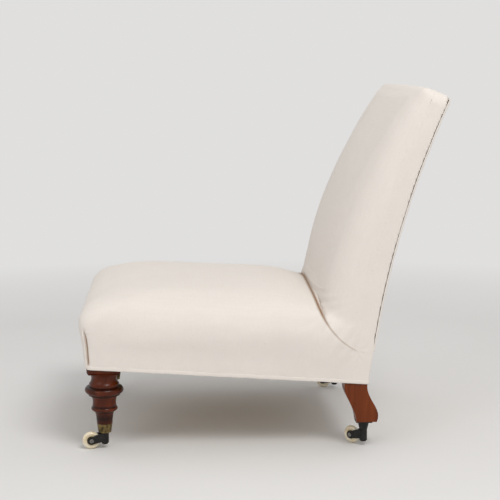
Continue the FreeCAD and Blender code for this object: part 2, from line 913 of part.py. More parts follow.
def bottom_cloth():
    half = frame_half - tack_edge / 2
    cloth_sheet = tilt(box(-half, half, back_slab + tack_edge / 2,
                           hem_length - back_slab - tack_edge / 2,
                           rail_lift - 2 * web_thickness - under_cloth - ease,
                           rail_lift - 2 * web_thickness - ease))
    around = []
    for _, sign in SIDES:
        x0, x1 = sorted((sign * (frame_half - front_block - ease), sign * reach))
        around.append(box(x0, x1, -reach, frame_front_y + front_block + ease, 0, reach))
        x0, x1 = sorted((sign * (rear_leg_in - ease), sign * reach))
        around.append(box(x0, x1, knee_y - ease, reach, 0, reach))
    return cloth_sheet.cut(group(around + hem_tacks(hole_ease)))


# Back: webbing, sacking, stuffing, cover and outside back

def back_heights():
    return stay_rail_z + stay_rail_height / 2, top_rail_z() + top_rail_height / 2


def back_webbing_upright():
    """Strips from the stay rail to the top rail, stretched along the uprights' front line."""
    low, high = back_heights()
    depth = back_slab + upright_depth
    strips = []
    for i in range(back_web_count):
        x = (i - (back_web_count - 1) / 2) * back_web_spacing
        strips.append(back_layer(depth, depth + web_thickness, low, high,
                                 x - web_width / 2, x + web_width / 2))
    return strips


def back_webbing_cross():
    """Strips from upright to upright, over the upright ones."""
    low, high = back_heights()
    depth = back_slab + upright_depth
    half = frame_half - web_lap
    strips = []
    for z in spaced(low + web_width, high - web_width, 2 * web_width):
        strips.append(back_layer(depth + web_thickness, depth + 2 * web_thickness,
                                 z - web_width / 2, z + web_width / 2, -half, half))
    return strips


def back_sacking():
    low, high = back_heights()
    depth = back_slab + upright_depth + 2 * web_thickness + ease / 2
    half = frame_half - web_lap / 2
    return back_layer(depth, depth + sacking, low - web_width / 2, high + web_width / 3, -half, half)


def back_stuffing():
    depth = back_slab + upright_depth + 2 * web_thickness + sacking + 2 * ease
    behind = back_layer(-2 * beyond, depth, crease_end_z - rail_height, back_top_z + rail_height,
                        -reach / 2, reach / 2)
    rails = tilt(box(-reach, reach, -reach, reach, -reach, rail_lift + rail_height + ease))
    return back_form(cloth + ease).cut(group([behind, rails]))


def back_cover():
    return back_form(0.0).cut(back_form(cloth, open_behind=beyond / 4))


def outside_back():
    """The panel that closes the back from behind, from the top to the hem."""
    half = back_half_width - cloth - ease
    top = back_top_z - top_rear_radius - 2 * cloth
    panel = back_layer(back_slab - ease - under_cloth, back_slab - ease,
                       crease_end_z + rail_lift, top, -half, half)
    return panel.common(front_mask(cloth + ease)).cut(group(back_tacks(hole_ease)))


# Castors, drawn with the swivel axis on Z and the wheel out along +X

def wheel():
    half = wheel_width / 2
    inner = bush_radius + hole_ease
    rim = wheel_radius - wheel_edge
    flat = half - bush_flange
    outline = [
        line(V(inner, 0, -flat), V(bush_flange_radius + 1, 0, -flat)),
        line(V(bush_flange_radius + 1, 0, -flat), V(rim, 0, -half)),
        arc(V(rim, 0, -half), V(wheel_radius, 0, 0), V(rim, 0, half)),
        line(V(rim, 0, half), V(bush_flange_radius + 1, 0, flat)),
        line(V(bush_flange_radius + 1, 0, flat), V(inner, 0, flat)),
        line(V(inner, 0, flat), V(inner, 0, -flat)),
    ]
    return Part.Face(Part.Wire(outline)).revolve(V(0, 0, 0), Z_AXIS, full_turn)


def bush():
    half = wheel_width / 2 + ease
    flat = wheel_width / 2 - bush_flange
    barrel = cylinder(bush_radius, V(0, 0, -half), V(0, 0, half))
    flanges = []
    for sign in (-1, 1):
        flanges.append(cylinder(bush_flange_radius, V(0, 0, sign * (flat + hole_ease)),
                                V(0, 0, sign * half)))
    bore = cylinder(axle_radius + running_gap, V(0, 0, -wheel_width), V(0, 0, wheel_width))
    return barrel.multiFuse(flanges).removeSplitter().cut(bore)


def cheek_inner():
    return wheel_width / 2 + ease + cheek_gap


def axle():
    half = cheek_inner() + cheek
    pin = cylinder(axle_radius, V(0, 0, -half - axle_head), V(0, 0, half + axle_head))
    heads = [cylinder(axle_head_radius, V(0, 0, sign * half), V(0, 0, sign * (half + axle_head)))
             for sign in (-1, 1)]
    return pin.multiFuse(heads).removeSplitter()


def horn():
    """The fork: a barrel round the pintle and two cheeks that reach out to the axle."""
    hub = V(trail, 0, wheel_radius)
    inner = cheek_inner()
    barrel = cylinder(horn_radius, V(0, 0, horn_low_z), V(0, 0, horn_top_z))
    cheeks = []
    for sign in (-1, 1):
        y0, y1 = sorted((sign * inner, sign * (inner + cheek)))
        end = cylinder(cheek_end_radius, V(hub.x, y0, hub.z), V(hub.x, y1, hub.z))
        arm = Part.Face(polygon([
            V(0, y0, horn_low_z + arm_foot_rise),
            V(hub.x, y0, hub.z - cheek_end_radius),
            V(hub.x, y0, hub.z + cheek_end_radius),
            V(hub.x / 2, y0, horn_top_z - arm_top_drop),
            V(0, y0, horn_top_z),
        ])).extrude(V(0, cheek, 0))
        cheeks += [end, arm]
    body = barrel.multiFuse(cheeks)
    room = cylinder(wheel_radius + rim_gap, V(hub.x, -inner, hub.z), V(hub.x, inner, hub.z))
    pivot = cylinder(pintle_radius + running_gap, V(0, 0, 0), V(0, 0, cup_top_z))
    pin = cylinder(axle_radius + hole_ease, V(hub.x, -horn_radius * 2, hub.z),
                   V(hub.x, horn_radius * 2, hub.z))
    return body.cut(group([room, pivot])).cut(pin).removeSplitter()


def pintle(seat_z):
    """The swivel pin: headed above the seat it is riveted in, spread below the horn."""
    pin = cylinder(pintle_radius, V(0, 0, pintle_foot_z), V(0, 0, seat_z + pintle_head))
    foot = cylinder(pintle_foot_radius, V(0, 0, pintle_foot_z), V(0, 0, horn_low_z - swivel_gap))
    head = cylinder(pintle_head_radius, V(0, 0, seat_z), V(0, 0, seat_z + pintle_head))
    return pin.multiFuse([foot, head]).removeSplitter()


def cup():
    """The tapered brass socket that the front leg stands in."""
    low = horn_top_z + swivel_gap
    outer = cone(cup_low_radius, cup_top_radius, V(0, 0, low), V(0, 0, cup_top_z))
    floor_z = low + cup_floor
    inner_low = leg_end_radius - cup_wall + running_gap
    inner = cone(inner_low, cup_top_radius - cup_wall, V(0, 0, leg_end_z), V(0, 0, cup_top_z))
    well = cylinder(pintle_head_radius + ease, V(0, 0, floor_z), V(0, 0, leg_end_z))
    hole = cylinder(pintle_radius + hole_ease, V(0, 0, low), V(0, 0, floor_z))
    return outer.cut(inner).cut(group([well, hole]))


def plate():
    """The rear castor's plate with the tapered boss below it."""
    top = rear_foot_z
    under = top - plate_thickness
    low = horn_top_z + swivel_gap
    flat = box(-plate_half, plate_half, -plate_half, plate_half, under, top)
    corners = [e for e in flat.Edges if e.BoundBox.ZLength > plate_thickness / 2]
    flat = flat.makeFillet(plate_corner, corners)
    boss = cone(horn_radius + hole_ease, boss_top_radius, V(0, 0, low), V(0, 0, under))
    well = cylinder(pintle_head_radius + hole_ease, V(0, 0, top - pintle_head - ease), V(0, 0, top))
    hole = cylinder(pintle_radius + hole_ease, V(0, 0, low), V(0, 0, top))
    return flat.fuse(boss).removeSplitter().cut(well).cut(hole)


def plate_screw_places():
    places = []
    for x in (-plate_screw_offset, plate_screw_offset):
        for y in (-plate_screw_offset, plate_screw_offset):
            places.append((x, y))
    return places


def plate_screws(ease_round=0.0):
    """Four countersunk screws up through each rear plate into the leg."""
    screws = []
    under = rear_foot_z - plate_thickness
    for _, sign in SIDES:
        for x, y in plate_screw_places():
            base = V(sign * rear_leg_x + x, rear_axis_y + y, under)
            head = cone(countersink_radius + ease_round, screw_radius + ease_round,
                        base, base + V(0, 0, screw_head_height))
            shank = cylinder(screw_radius + ease_round, base + V(0, 0, screw_head_height / 2),
                             base + V(0, 0, screw_length / 2 + ease_round))
            screws.append(head.fuse(shank))
    return screws


def place_castor(shape, x, y, turn_deg):
    shape.rotate(V(0, 0, 0), Z_AXIS, turn_deg)
    shape.translate(V(x, y, 0))
    return shape


def on_axle(shape):
    """From the wheel's own axis to the axle's place beside the swivel axis."""
    shape.rotate(V(0, 0, 0), X_AXIS, 90)
    shape.translate(V(trail, 0, wheel_radius))
    return shape


def save_castors():
    for end, side_name, x, y, turn_deg in CASTORS:
        name = end + "_" + side_name
        if end == "front":
            save("castor_cup_" + name, place_castor(cup(), x, y, turn_deg))
            pin = pintle(horn_top_z + swivel_gap + cup_floor)
        else:
            holder = plate()
            holder.translate(V(x, y, 0))
            save("castor_plate_" + name, holder.cut(group(plate_screws(hole_ease))))
            pin = pintle(rear_foot_z - pintle_head - ease)
        save("castor_pintle_" + name, place_castor(pin, x, y, turn_deg))
        save("castor_horn_" + name, place_castor(horn(), x, y, turn_deg))
        save("castor_axle_" + name, place_castor(on_axle(axle()), x, y, turn_deg))
        save("castor_wheel_" + name, place_castor(on_axle(wheel()), x, y, turn_deg))
        save("castor_bush_" + name, place_castor(on_axle(bush()), x, y, turn_deg))
    save("castor_plate_screws", group(plate_screws()))


def save_frame():
    for side_name, sign in SIDES:
        save("front_leg_" + side_name, on_side(front_leg(), sign))
        save("rear_leg_" + side_name, rear_upright(sign))
        save("side_rail_" + side_name, side_rail(sign))
    save("front_rail", front_rail())
    save("rear_rail", rear_rail())
    save("back_top_rail", back_rail(top_rail_z(), top_rail_height))
    save("back_stay_rail", back_rail(stay_rail_z, stay_rail_height))
    save("corner_blocks", group(corner_blocks()))
    save("corner_block_screws", group(block_screws(0.0)))
    save("rail_dowels", group(dowels(0.0)))


def save_seat():
    save("seat_webbing_long", group(seat_webbing_long()))
    save("seat_webbing_cross", group(seat_webbing_cross()))
    save("seat_springs", group(seat_springs()))
    save("seat_platform", seat_platform())
    save("seat_stuffing", seat_stuffing())
    save("seat_cover", seat_cover())
    save("bottom_cloth", bottom_cloth())
    save("hem_tacks", group(hem_tacks()))


def save_back():
    save("back_webbing_upright", group(back_webbing_upright()))
    save("back_webbing_cross", group(back_webbing_cross()))
    save("back_sacking", back_sacking())
    save("back_stuffing", back_stuffing())
    save("back_cover", back_cover())
    save("outside_back", outside_back())
    save("back_tacks", group(back_tacks()))


save_frame()
save_seat()
save_back()
save_castors()
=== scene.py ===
import math

import bmesh
import bpy
import numpy as np
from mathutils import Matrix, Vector, bvhtree, noise


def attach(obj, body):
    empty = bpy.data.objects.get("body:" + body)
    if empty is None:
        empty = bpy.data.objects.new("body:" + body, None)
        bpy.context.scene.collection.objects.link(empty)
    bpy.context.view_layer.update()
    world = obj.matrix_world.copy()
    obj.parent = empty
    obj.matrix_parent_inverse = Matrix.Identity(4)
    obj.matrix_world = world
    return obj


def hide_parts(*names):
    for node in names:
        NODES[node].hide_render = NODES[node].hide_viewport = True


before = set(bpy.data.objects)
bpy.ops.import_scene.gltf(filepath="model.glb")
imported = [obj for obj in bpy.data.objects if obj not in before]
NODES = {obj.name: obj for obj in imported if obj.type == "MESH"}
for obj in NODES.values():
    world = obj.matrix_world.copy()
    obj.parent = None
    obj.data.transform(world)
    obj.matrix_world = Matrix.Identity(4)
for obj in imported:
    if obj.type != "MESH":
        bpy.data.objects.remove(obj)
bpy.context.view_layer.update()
scene = bpy.context.scene
ROOT = "chair"

# Soft forms, in metres. The hem, the rear curve and the crease are the part's. The crown lies further
# forward, and the flat sides are shallower, than in the part's source, as the photograph shows.
HEM_Y, HEM_Z, SLOPE = -0.368, 0.178, math.radians(3.89)
HALF = 0.262
BACK_FOOT, BACK_MIDDLE, BACK_TOP = (0.221, 0.137), (0.277, 0.441), (0.383, 0.738)
CROWN_FOOT, CROWN_MIDDLE, CROWN_TOP = (0.111, 0.290), (0.171, 0.500), (0.309, 0.740)
CREASE_TOP, CREASE_MIDDLE, CREASE_END = (0.1205, 0.2925), (0.151, 0.243), (0.198, 0.208)
HEM_LENGTH = (BACK_FOOT[0] - HEM_Y) / math.cos(SLOPE)
SIDE_DEPTH = (0.050, 0.032)
SIDE_ROUND = 0.075
TOP_FRONT_R, TOP_REAR_R, TOP_SIDE_R, TOP_DROP = 0.028, 0.010, 0.026, 0.004

# Each level of the seat, in mm: its height above the hem, how far its front, rear and sides stand out
# from the hem, and the radii of its front and rear corners
SEAT_LEVELS = np.array((
    (0.0, 0.0, 0.0, 0.0, 16.0, 4.0),
    (30.0, 6.0, 2.0, 1.5, 20.0, 4.0),
    (60.0, 13.0, 3.6, 4.0, 26.0, 4.0),
    (85.0, 21.0, 5.0, 6.0, 32.0, 4.0),
    (105.0, 21.0, -4.0, 4.5, 38.0, 12.0),
    (122.0, 10.0, -34.0, -1.5, 46.0, 30.0),
    (136.0, -3.0, -72.0, -11.0, 56.0, 50.0),
    (147.0, -26.0, -108.0, -26.0, 66.0, 66.0),
    (156.0, -60.0, -146.0, -48.0, 76.0, 76.0),
    (163.0, -105.0, -190.0, -78.0, 80.0, 80.0),
    (168.5, -165.0, -240.0, -122.0, 80.0, 80.0),
    (171.5, -222.0, -288.0, -180.0, 36.0, 36.0),
)) / 1000

# Half the width of the slot cut for the crease, and the remeshed skin's voxels
SLOT = 0.0036
VOXEL = 0.005

# Cloth simulation: where it starts, what drives it, and how much of its result is kept
START_INSET = 0.0030
PRESSURE = 4.0
PUFF_CAP = 0.0080
CLOTH_FRAMES = 14
INWARD_SHARE, OUTWARD_CAP, ALONG_SHARE = 0.25, 0.0030, 0.6
RELAX_ROUNDS = 14

# Details laid on the simulated skin
SEAT_RISE, SEAT_LEAN = 0.021, 0.005
SLIT_DEPTH = 0.0026
RIPPLE_PITCH = 0.042
BOTTOM_LEVEL = 0.004

# The panel behind: its lower and upper edges, and how far it stays inside the back's sides
PANEL_LOW, PANEL_HIGH = 0.2115, BACK_TOP[1] - 0.004
PANEL_INSET = 0.0010


# Plane geometry helpers

def circle3(a, b, c):
    """Centre and radius of the circle through three points of the plane."""
    (ax, ay), (bx, by), (cx, cy) = a, b, c
    d = 2 * (ax * (by - cy) + bx * (cy - ay) + cx * (ay - by))
    ux = ((ax * ax + ay * ay) * (by - cy) + (bx * bx + by * by) * (cy - ay)
          + (cx * cx + cy * cy) * (ay - by)) / d
    uy = ((ax * ax + ay * ay) * (cx - bx) + (bx * bx + by * by) * (ax - cx)
          + (cx * cx + cy * cy) * (bx - ax)) / d
    return np.array((ux, uy)), math.hypot(ax - ux, ay - uy)


def arc_points(a, b, c, count):
    centre, radius = circle3(a, b, c)
    angles = [math.atan2(p[1] - centre[1], p[0] - centre[0]) for p in (a, b, c)]
    turn = (angles[2] - angles[0]) % (2 * math.pi)
    if (angles[1] - angles[0]) % (2 * math.pi) > turn:
        turn -= 2 * math.pi
    steps = angles[0] + turn * np.linspace(0, 1, count)
    return [centre + radius * np.array((math.cos(t), math.sin(t))) for t in steps]


REAR_C, REAR_R = circle3(BACK_FOOT, BACK_MIDDLE, BACK_TOP)
CROWN_C, CROWN_R = circle3(CROWN_FOOT, CROWN_MIDDLE, CROWN_TOP)
CREASE_C, CREASE_R = circle3(CREASE_TOP, CREASE_MIDDLE, CREASE_END)


def arc_y(centre, radius, z):
    return centre[0] - math.sqrt(radius ** 2 - (z - centre[1]) ** 2)


def back_point(z, depth):
    p = np.array((arc_y(REAR_C, REAR_R, z), z))
    return p + (p - REAR_C) / REAR_R * depth


def hem_place(x, s, h):
    """From the seat's own frame to the chair's."""
    y = HEM_Y + s * math.cos(SLOPE) + h * math.sin(SLOPE)
    z = HEM_Z - s * math.sin(SLOPE) + h * math.cos(SLOPE)
    return np.stack([x, y, z], axis=-1)


def hem_height(co):
    """Height above the hem's plane of each point."""
    return (co[:, 2] - HEM_Z) * math.cos(SLOPE) + (co[:, 1] - HEM_Y) * math.sin(SLOPE)


def smooth_step(t):
    t = np.clip(t, 0, 1)
    return t * t * (3 - 2 * t)


# Mesh helpers

def new_object(name, verts, faces):
    mesh = bpy.data.meshes.new(name)
    mesh.from_pydata([tuple(map(float, v)) for v in verts], [], faces)
    mesh.validate()
    obj = bpy.data.objects.new(name, mesh)
    scene.collection.objects.link(obj)
    return obj


def fix_normals(obj):
    bm = bmesh.new()
    bm.from_mesh(obj.data)
    bmesh.ops.recalc_face_normals(bm, faces=bm.faces)
    bm.to_mesh(obj.data)
    bm.free()


def loft(name, rings):
    """A closed solid through rings with equal numbers of points."""
    count = len(rings[0])
    verts = np.concatenate(rings)
    faces = []
    for k in range(len(rings) - 1):
        for i in range(count):
            j = (i + 1) % count
            faces.append((k * count + i, k * count + j, (k + 1) * count + j, (k + 1) * count + i))
    faces.append(tuple(range(count))[::-1])
    last = (len(rings) - 1) * count
    faces.append(tuple(range(last, last + count)))
    obj = new_object(name, verts, faces)
    fix_normals(obj)
    return obj


def prism(name, points, span):
    """A flat outline of 3-D points swept along the vector span."""
    a = np.array(points)
    b = a + np.array(span)
    count = len(a)
    faces = [tuple(range(count)), tuple(range(count, 2 * count))[::-1]]
    faces += [(i, (i + 1) % count, count + (i + 1) % count, count + i) for i in range(count)]
    obj = new_object(name, np.concatenate([a, b]), faces)
    fix_normals(obj)
    return obj


def bake(obj):
    """Applies every modifier."""
    bpy.context.view_layer.update()
    graph = bpy.context.evaluated_depsgraph_get()
    mesh = bpy.data.meshes.new_from_object(obj.evaluated_get(graph))
    obj.modifiers.clear()
    obj.data = mesh
    return obj


def boolean(obj, tool, operation):
    mod = obj.modifiers.new("cut", "BOOLEAN")
    mod.operation = operation
    mod.solver = "EXACT"
    mod.object = tool
    bake(obj)
    return obj


def drop(*objs):
    for o in objs:
        bpy.data.objects.remove(o)


def points_of(obj):
    co = np.empty(len(obj.data.vertices) * 3)
    obj.data.vertices.foreach_get("co", co)
    return co.reshape(-1, 3)


def normals_of(obj):
    no = np.empty(len(obj.data.vertices) * 3)
    obj.data.vertices.foreach_get("normal", no)
    return no.reshape(-1, 3)


def set_points(obj, co):
    obj.data.vertices.foreach_set("co", co.astype(np.float32).ravel())
    obj.data.update()


def shade_smooth(obj):
    obj.data.polygons.foreach_set("use_smooth", [True] * len(obj.data.polygons))
    obj.data.update()


# The seat's form

def spline_rows(rows, count):
    """Rows resampled on a smooth curve through them, evenly along it."""
    step = np.sqrt(np.diff(rows[:, 0]) ** 2 + np.diff(rows[:, 3]) ** 2)
    t = np.concatenate([[0], np.cumsum(step)])
    slope = np.gradient(rows, t, axis=0)
    at = np.linspace(0, t[-1], count)
    k = np.clip(np.searchsorted(t, at, side="right") - 1, 0, len(t) - 2)
    width = (t[k + 1] - t[k])[:, None]
    u = ((at - t[k])[:, None]) / width
    a, b, ma, mb = rows[k], rows[k + 1], slope[k] * width, slope[k + 1] * width
    return (a * (2 * u ** 3 - 3 * u ** 2 + 1) + ma * (u ** 3 - 2 * u ** 2 + u)
            + b * (3 * u ** 2 - 2 * u ** 3) + mb * (u ** 3 - u ** 2))


def plan_ring(row, corner=10, side=40):
    """A rounded rectangle in the seat's frame for one level."""
    h, front, rear, proud, front_r, rear_r = row
    half = HALF + proud
    s0, s1 = -front, HEM_LENGTH + rear
    spots = ((half, s1, 0, rear_r), (-half, s1, 90, rear_r),
             (-half, s0, 180, front_r), (half, s0, 270, front_r))
    corners = []
    for x, s, start, r in spots:
        r = max(r, 0.001)
        cx = x - math.copysign(r, x)
        cs = s - r if s == s1 else s + r
        angles = np.radians(start + np.linspace(0, 90, corner))
        corners.append(np.stack([cx + r * np.cos(angles), cs + r * np.sin(angles)], axis=1))
    ring = []
    for i, pts in enumerate(corners):
        ring.append(pts)
        nxt = corners[(i + 1) % 4][0]
        share = np.linspace(0, 1, side + 2)[1:-1, None]
        ring.append(pts[-1] * (1 - share) + nxt * share)
    ring = np.concatenate(ring)
    return hem_place(ring[:, 0], ring[:, 1], np.full(len(ring), h))


def seat_form():
    rows = spline_rows(SEAT_LEVELS, 46)
    return loft("seat_form", [plan_ring(r) for r in rows])


# The back's form

def back_ring(z):
    """One level slice: flat behind, straight sides, rounded corners, crowned front."""
    share = (z - BACK_FOOT[1]) / (BACK_TOP[1] - BACK_FOOT[1])
    rear = arc_y(REAR_C, REAR_R, z)
    edge = rear - (SIDE_DEPTH[0] + (SIDE_DEPTH[1] - SIDE_DEPTH[0]) * share)
    crown = arc_y(CROWN_C, CROWN_R, max(z, CROWN_FOOT[1]))
    depth = edge - crown
    radius = min(SIDE_ROUND, 0.85 * depth)
    run = HALF - radius
    big = (run ** 2 + depth ** 2 - radius ** 2) / (2 * (depth - radius))
    centre_y = crown + big
    span = math.hypot(run, edge - centre_y)
    touch = (big * run / span, centre_y + big * (edge - centre_y) / span)
    half_turn = math.atan2(centre_y - edge, run) / 2
    mid = (run + radius * math.cos(half_turn), edge - radius * math.sin(half_turn))
    right = arc_points((HALF, edge), mid, touch, 12)
    front = arc_points(touch, (0, crown), (-touch[0], touch[1]), 60)
    left = [np.array((-p[0], p[1])) for p in reversed(right)]
    side_r = [np.array((HALF, rear + (edge - rear) * t)) for t in np.linspace(0, 1, 10)[:-1]]
    side_l = [np.array((-HALF, edge + (rear - edge) * t)) for t in np.linspace(0, 1, 10)[1:]]
    behind = [np.array((x, rear)) for x in np.linspace(-HALF, HALF, 50)[1:-1]]
    ring = np.array(side_r + right + front[1:-1] + left + side_l + behind)
    return np.stack([ring[:, 0], ring[:, 1], np.full(len(ring), z)], axis=1)


def back_axes():
    corner = back_point(BACK_TOP[1], 0.0)
    up = corner - back_point(BACK_TOP[1] - 0.001, 0.0)
    up = up / np.linalg.norm(up)
    return corner, up, np.array((-up[1], up[0]))


def side_outline():
    corner, up, out = back_axes()
    depth = (np.array(CROWN_TOP) - corner) @ out
    front = corner + out * depth
    half = math.sqrt(0.5)
    rear_a, rear_b = corner - up * TOP_REAR_R, corner + out * TOP_REAR_R
    rear_m = corner + (out - up) * TOP_REAR_R + (up - out) * TOP_REAR_R * half
    front_a, front_b = front - out * TOP_FRONT_R, front - up * TOP_FRONT_R
    front_m = front - (out + up) * TOP_FRONT_R + (up + out) * TOP_FRONT_R * half
    pts = [(-0.08, 0.15), (-0.08, front_b[1])]
    pts += [tuple(p) for p in arc_points(front_b, front_m, front_a, 9)]
    pts += [tuple(p) for p in arc_points(rear_b, rear_m, rear_a, 7)]
    pts += [(0.6, rear_a[1]), (0.6, 0.15)]
    return [(-0.5, y, z) for y, z in pts]


def front_outline():
    corner, up, out = back_axes()
    half = HALF + 0.0002
    r, drop = TOP_SIDE_R, TOP_DROP
    k = r * (1 - math.sqrt(0.5))
    flat = [(-half, -0.7), (half, -0.7)]
    flat += arc_points((half, -drop - r), (half - k, -drop - k), (half - r, -drop), 9)
    flat += arc_points((half - r, -drop), (0, 0), (r - half, -drop), 40)[1:-1]
    flat += arc_points((r - half, -drop), (k - half, -drop - k), (-half, -drop - r), 9)
    return [(x, corner[0] + up[0] * u - out[0], corner[1] + up[1] * u - out[1]) for x, u in flat], out


def crease_slot():
    """The gap between seat and back, as a solid to cut away."""
    mid = arc_points(CREASE_TOP, CREASE_MIDDLE, CREASE_END, 24)
    outer, inner = [], []
    for p in mid:
        away = (p - CREASE_C) / CREASE_R
        outer.append(p + away * SLOT)
        inner.append(p - away * SLOT)
    lift = (mid[0] - mid[1]) / np.linalg.norm(mid[0] - mid[1]) * 0.012
    outline = [outer[0] + lift] + outer + inner[::-1] + [inner[0] + lift]
    return prism("slot", [(-0.4, p[0], p[1]) for p in outline], (0.8, 0, 0))


def back_form():
    low, high = CREASE_END[1] - TOP_FRONT_R, BACK_TOP[1] + TOP_FRONT_R
    solid = loft("back_form", [back_ring(z) for z in np.linspace(low, high, 60)])
    side_tool = prism("side_tool", side_outline(), (1, 0, 0))
    outline, out = front_outline()
    front_tool = prism("front_tool", outline, (0, 2 * out[0], 2 * out[1]))
    boolean(solid, side_tool, "INTERSECT")
    boolean(solid, front_tool, "INTERSECT")
    drop(side_tool, front_tool)
    return solid


# Joining, remeshing and the cloth simulation

def join(a, b):
    bm = bmesh.new()
    bm.from_mesh(a.data)
    bm.from_mesh(b.data)
    bm.to_mesh(a.data)
    bm.free()
    drop(b)
    return a


def remesh(obj, size):
    mod = obj.modifiers.new("voxels", "REMESH")
    mod.mode = "VOXEL"
    mod.voxel_size = size
    return bake(obj)


def relax(co, edges, mask, rounds, rate=0.5):
    """Moves the masked points towards the mean of their neighbours."""
    count = np.bincount(edges.ravel(), minlength=len(co)).astype(float)
    for _ in range(rounds):
        total = np.zeros_like(co)
        np.add.at(total, edges[:, 0], co[edges[:, 1]])
        np.add.at(total, edges[:, 1], co[edges[:, 0]])
        mean = total / np.maximum(count, 1)[:, None]
        co = co + (mean - co) * (rate * mask)[:, None]
    return co


def edges_of(obj):
    e = np.empty(len(obj.data.edges) * 2, np.int64)
    obj.data.edges.foreach_get("vertices", e)
    return e.reshape(-1, 2)


def crease_distance(co):
    """Signed distance from the crease's arc, and the share along it from its top to its end."""
    d = co[:, 1:] - CREASE_C
    away = np.hypot(d[:, 0], d[:, 1]) - CREASE_R
    angle = np.arctan2(d[:, 1], d[:, 0])
    a0 = math.atan2(CREASE_TOP[1] - CREASE_C[1], CREASE_TOP[0] - CREASE_C[0])
    a1 = math.atan2(CREASE_END[1] - CREASE_C[1], CREASE_END[0] - CREASE_C[0])
    a0, a1, angle = a0 % (2 * math.pi), a1 % (2 * math.pi), angle % (2 * math.pi)
    return away, (angle - a0) / (a1 - a0)


def puff(obj, pins, pressure, cap, frames):
    """Inflates a closed skin of cloth, holding the pinned points."""
    rest = points_of(obj)
    group = obj.vertex_groups.new(name="held")
    for w in np.unique(np.round(pins, 1)):
        if w > 0:
            group.add([int(i) for i in np.nonzero(np.round(pins, 1) == w)[0]], float(w), "REPLACE")
    mod = obj.modifiers.new("cloth", "CLOTH")
    s = mod.settings
    s.quality = 4
    s.mass = 0.3
    s.tension_stiffness = 15
    s.compression_stiffness = 15
    s.shear_stiffness = 5
    s.bending_stiffness = 0.5
    s.use_pressure = True
    s.uniform_pressure_force = pressure
    s.vertex_group_mass = "held"
    s.pin_stiffness = 1.0
    s.effector_weights.gravity = 0
    mod.collision_settings.use_collision = False
    mod.collision_settings.use_self_collision = False
    mod.point_cache.frame_start = 1
    mod.point_cache.frame_end = frames
    for f in range(1, frames + 1):
        scene.frame_set(f)
    graph = bpy.context.evaluated_depsgraph_get()
    moved = points_of(obj.evaluated_get(graph))
    obj.modifiers.clear()
    obj.vertex_groups.clear()
    scene.frame_set(1)
    shift = moved - rest
    length = np.linalg.norm(shift, axis=1)
    shift *= np.minimum(1, cap / np.maximum(length, 1e-9))[:, None]
    set_points(obj, rest + shift)
    return obj


# Upholstery: seat and back forms made in one mesh, so that their sides run into each other

def crease_remap(co):
    """Closes the cut slot to the narrow gap that shows, widest near its top."""
    away, share = crease_distance(co)
    gap = np.interp(share, (-0.2, 0.0, 0.22, 0.45, 0.75, 1.0),
                    (0.0010, 0.0013, 0.0021, 0.0009, 0.0004, 0.0002))
    reach = 0.016
    size = np.abs(away)
    inside = (size < reach) & (share > -0.45) & (share < 1.10)
    target = gap + (size - SLOT) / (reach - SLOT) * (reach - gap)
    target = np.where(size < SLOT, size * gap / SLOT, target)
    fade = 1 - smooth_step((share - 1.02) / 0.08)
    new = np.where(inside, size + (target - size) * fade, size)
    out = co.copy()
    d = co[:, 1:] - CREASE_C
    length = np.maximum(np.hypot(d[:, 0], d[:, 1]), 1e-9)
    radius = CREASE_R + np.sign(away) * new
    out[:, 1:] = CREASE_C + d / length[:, None] * radius[:, None]
    return np.where(inside[:, None], out, co)


def noise_field(co, scale, stretch=(1, 1, 1), seed=0.0):
    at = co * (np.array(stretch) * scale) + seed
    return np.array([noise.noise(Vector(p)) for p in at])


def fabric_relief(co):
    """Small hollows, tension ripples at the hem and puckers at the end of the crease."""
    h = hem_height(co)
    push = 0.0011 * noise_field(co, 7.0, seed=3.1) + 0.0004 * noise_field(co, 26.0, seed=9.7)
    along = np.where(np.abs(co[:, 0]) > HALF - 0.012, co[:, 1], co[:, 0])
    ripple = np.sin(along * (2 * math.pi / RIPPLE_PITCH) + 3 * noise_field(co, 6.0, seed=1.3))
    low = (1 - smooth_step((h - 0.004) / 0.05)) * (h > -0.01)
    push += 0.00045 * ripple * low
    d = co[:, 1:] - np.array(CREASE_END)
    r = np.hypot(d[:, 0], d[:, 1])
    turn = np.arctan2(d[:, 1], d[:, 0])
    near_side = smooth_step((np.abs(co[:, 0]) - 0.235) / 0.02)
    push += 0.0004 * np.cos(7 * turn) * np.exp(-((r - 0.010) / 0.012) ** 2) * near_side
    away, share = crease_distance(co)
    inside = (share > -0.3) & (share < 1.05)
    pull = np.exp(-(np.abs(away) / 0.030)) * inside
    push += 0.0007 * pull * np.sin(share * 34 + 4 * noise_field(co, 9.0, seed=5.5))
    return push


def pleat_slit(co):
    """1 along the slit beside the pleat down each front corner, 0 elsewhere."""
    h = hem_height(co)
    x = np.abs(co[:, 0])
    front, proud = (np.interp(h, SEAT_LEVELS[:, 0], SEAT_LEVELS[:, k]) for k in (1, 3))
    line = (HALF + proud - x) - (co[:, 1] - HEM_Y + front - h * math.sin(SLOPE)) + 0.0065
    near = (x > 0.19) & (co[:, 1] < -0.28)
    rise = smooth_step((h - 0.004) / 0.012) * (1 - smooth_step((h - 0.062) / 0.030))
    return near * rise * np.exp(-(line / 0.0030) ** 2)


def surface_tree(*objs):
    verts, faces = [], []
    for obj in objs:
        start = len(verts)
        verts += [v.co.copy() for v in obj.data.vertices]
        faces += [tuple(start + i for i in f.vertices) for f in obj.data.polygons]
    return bvhtree.BVHTree.FromPolygons(verts, faces)


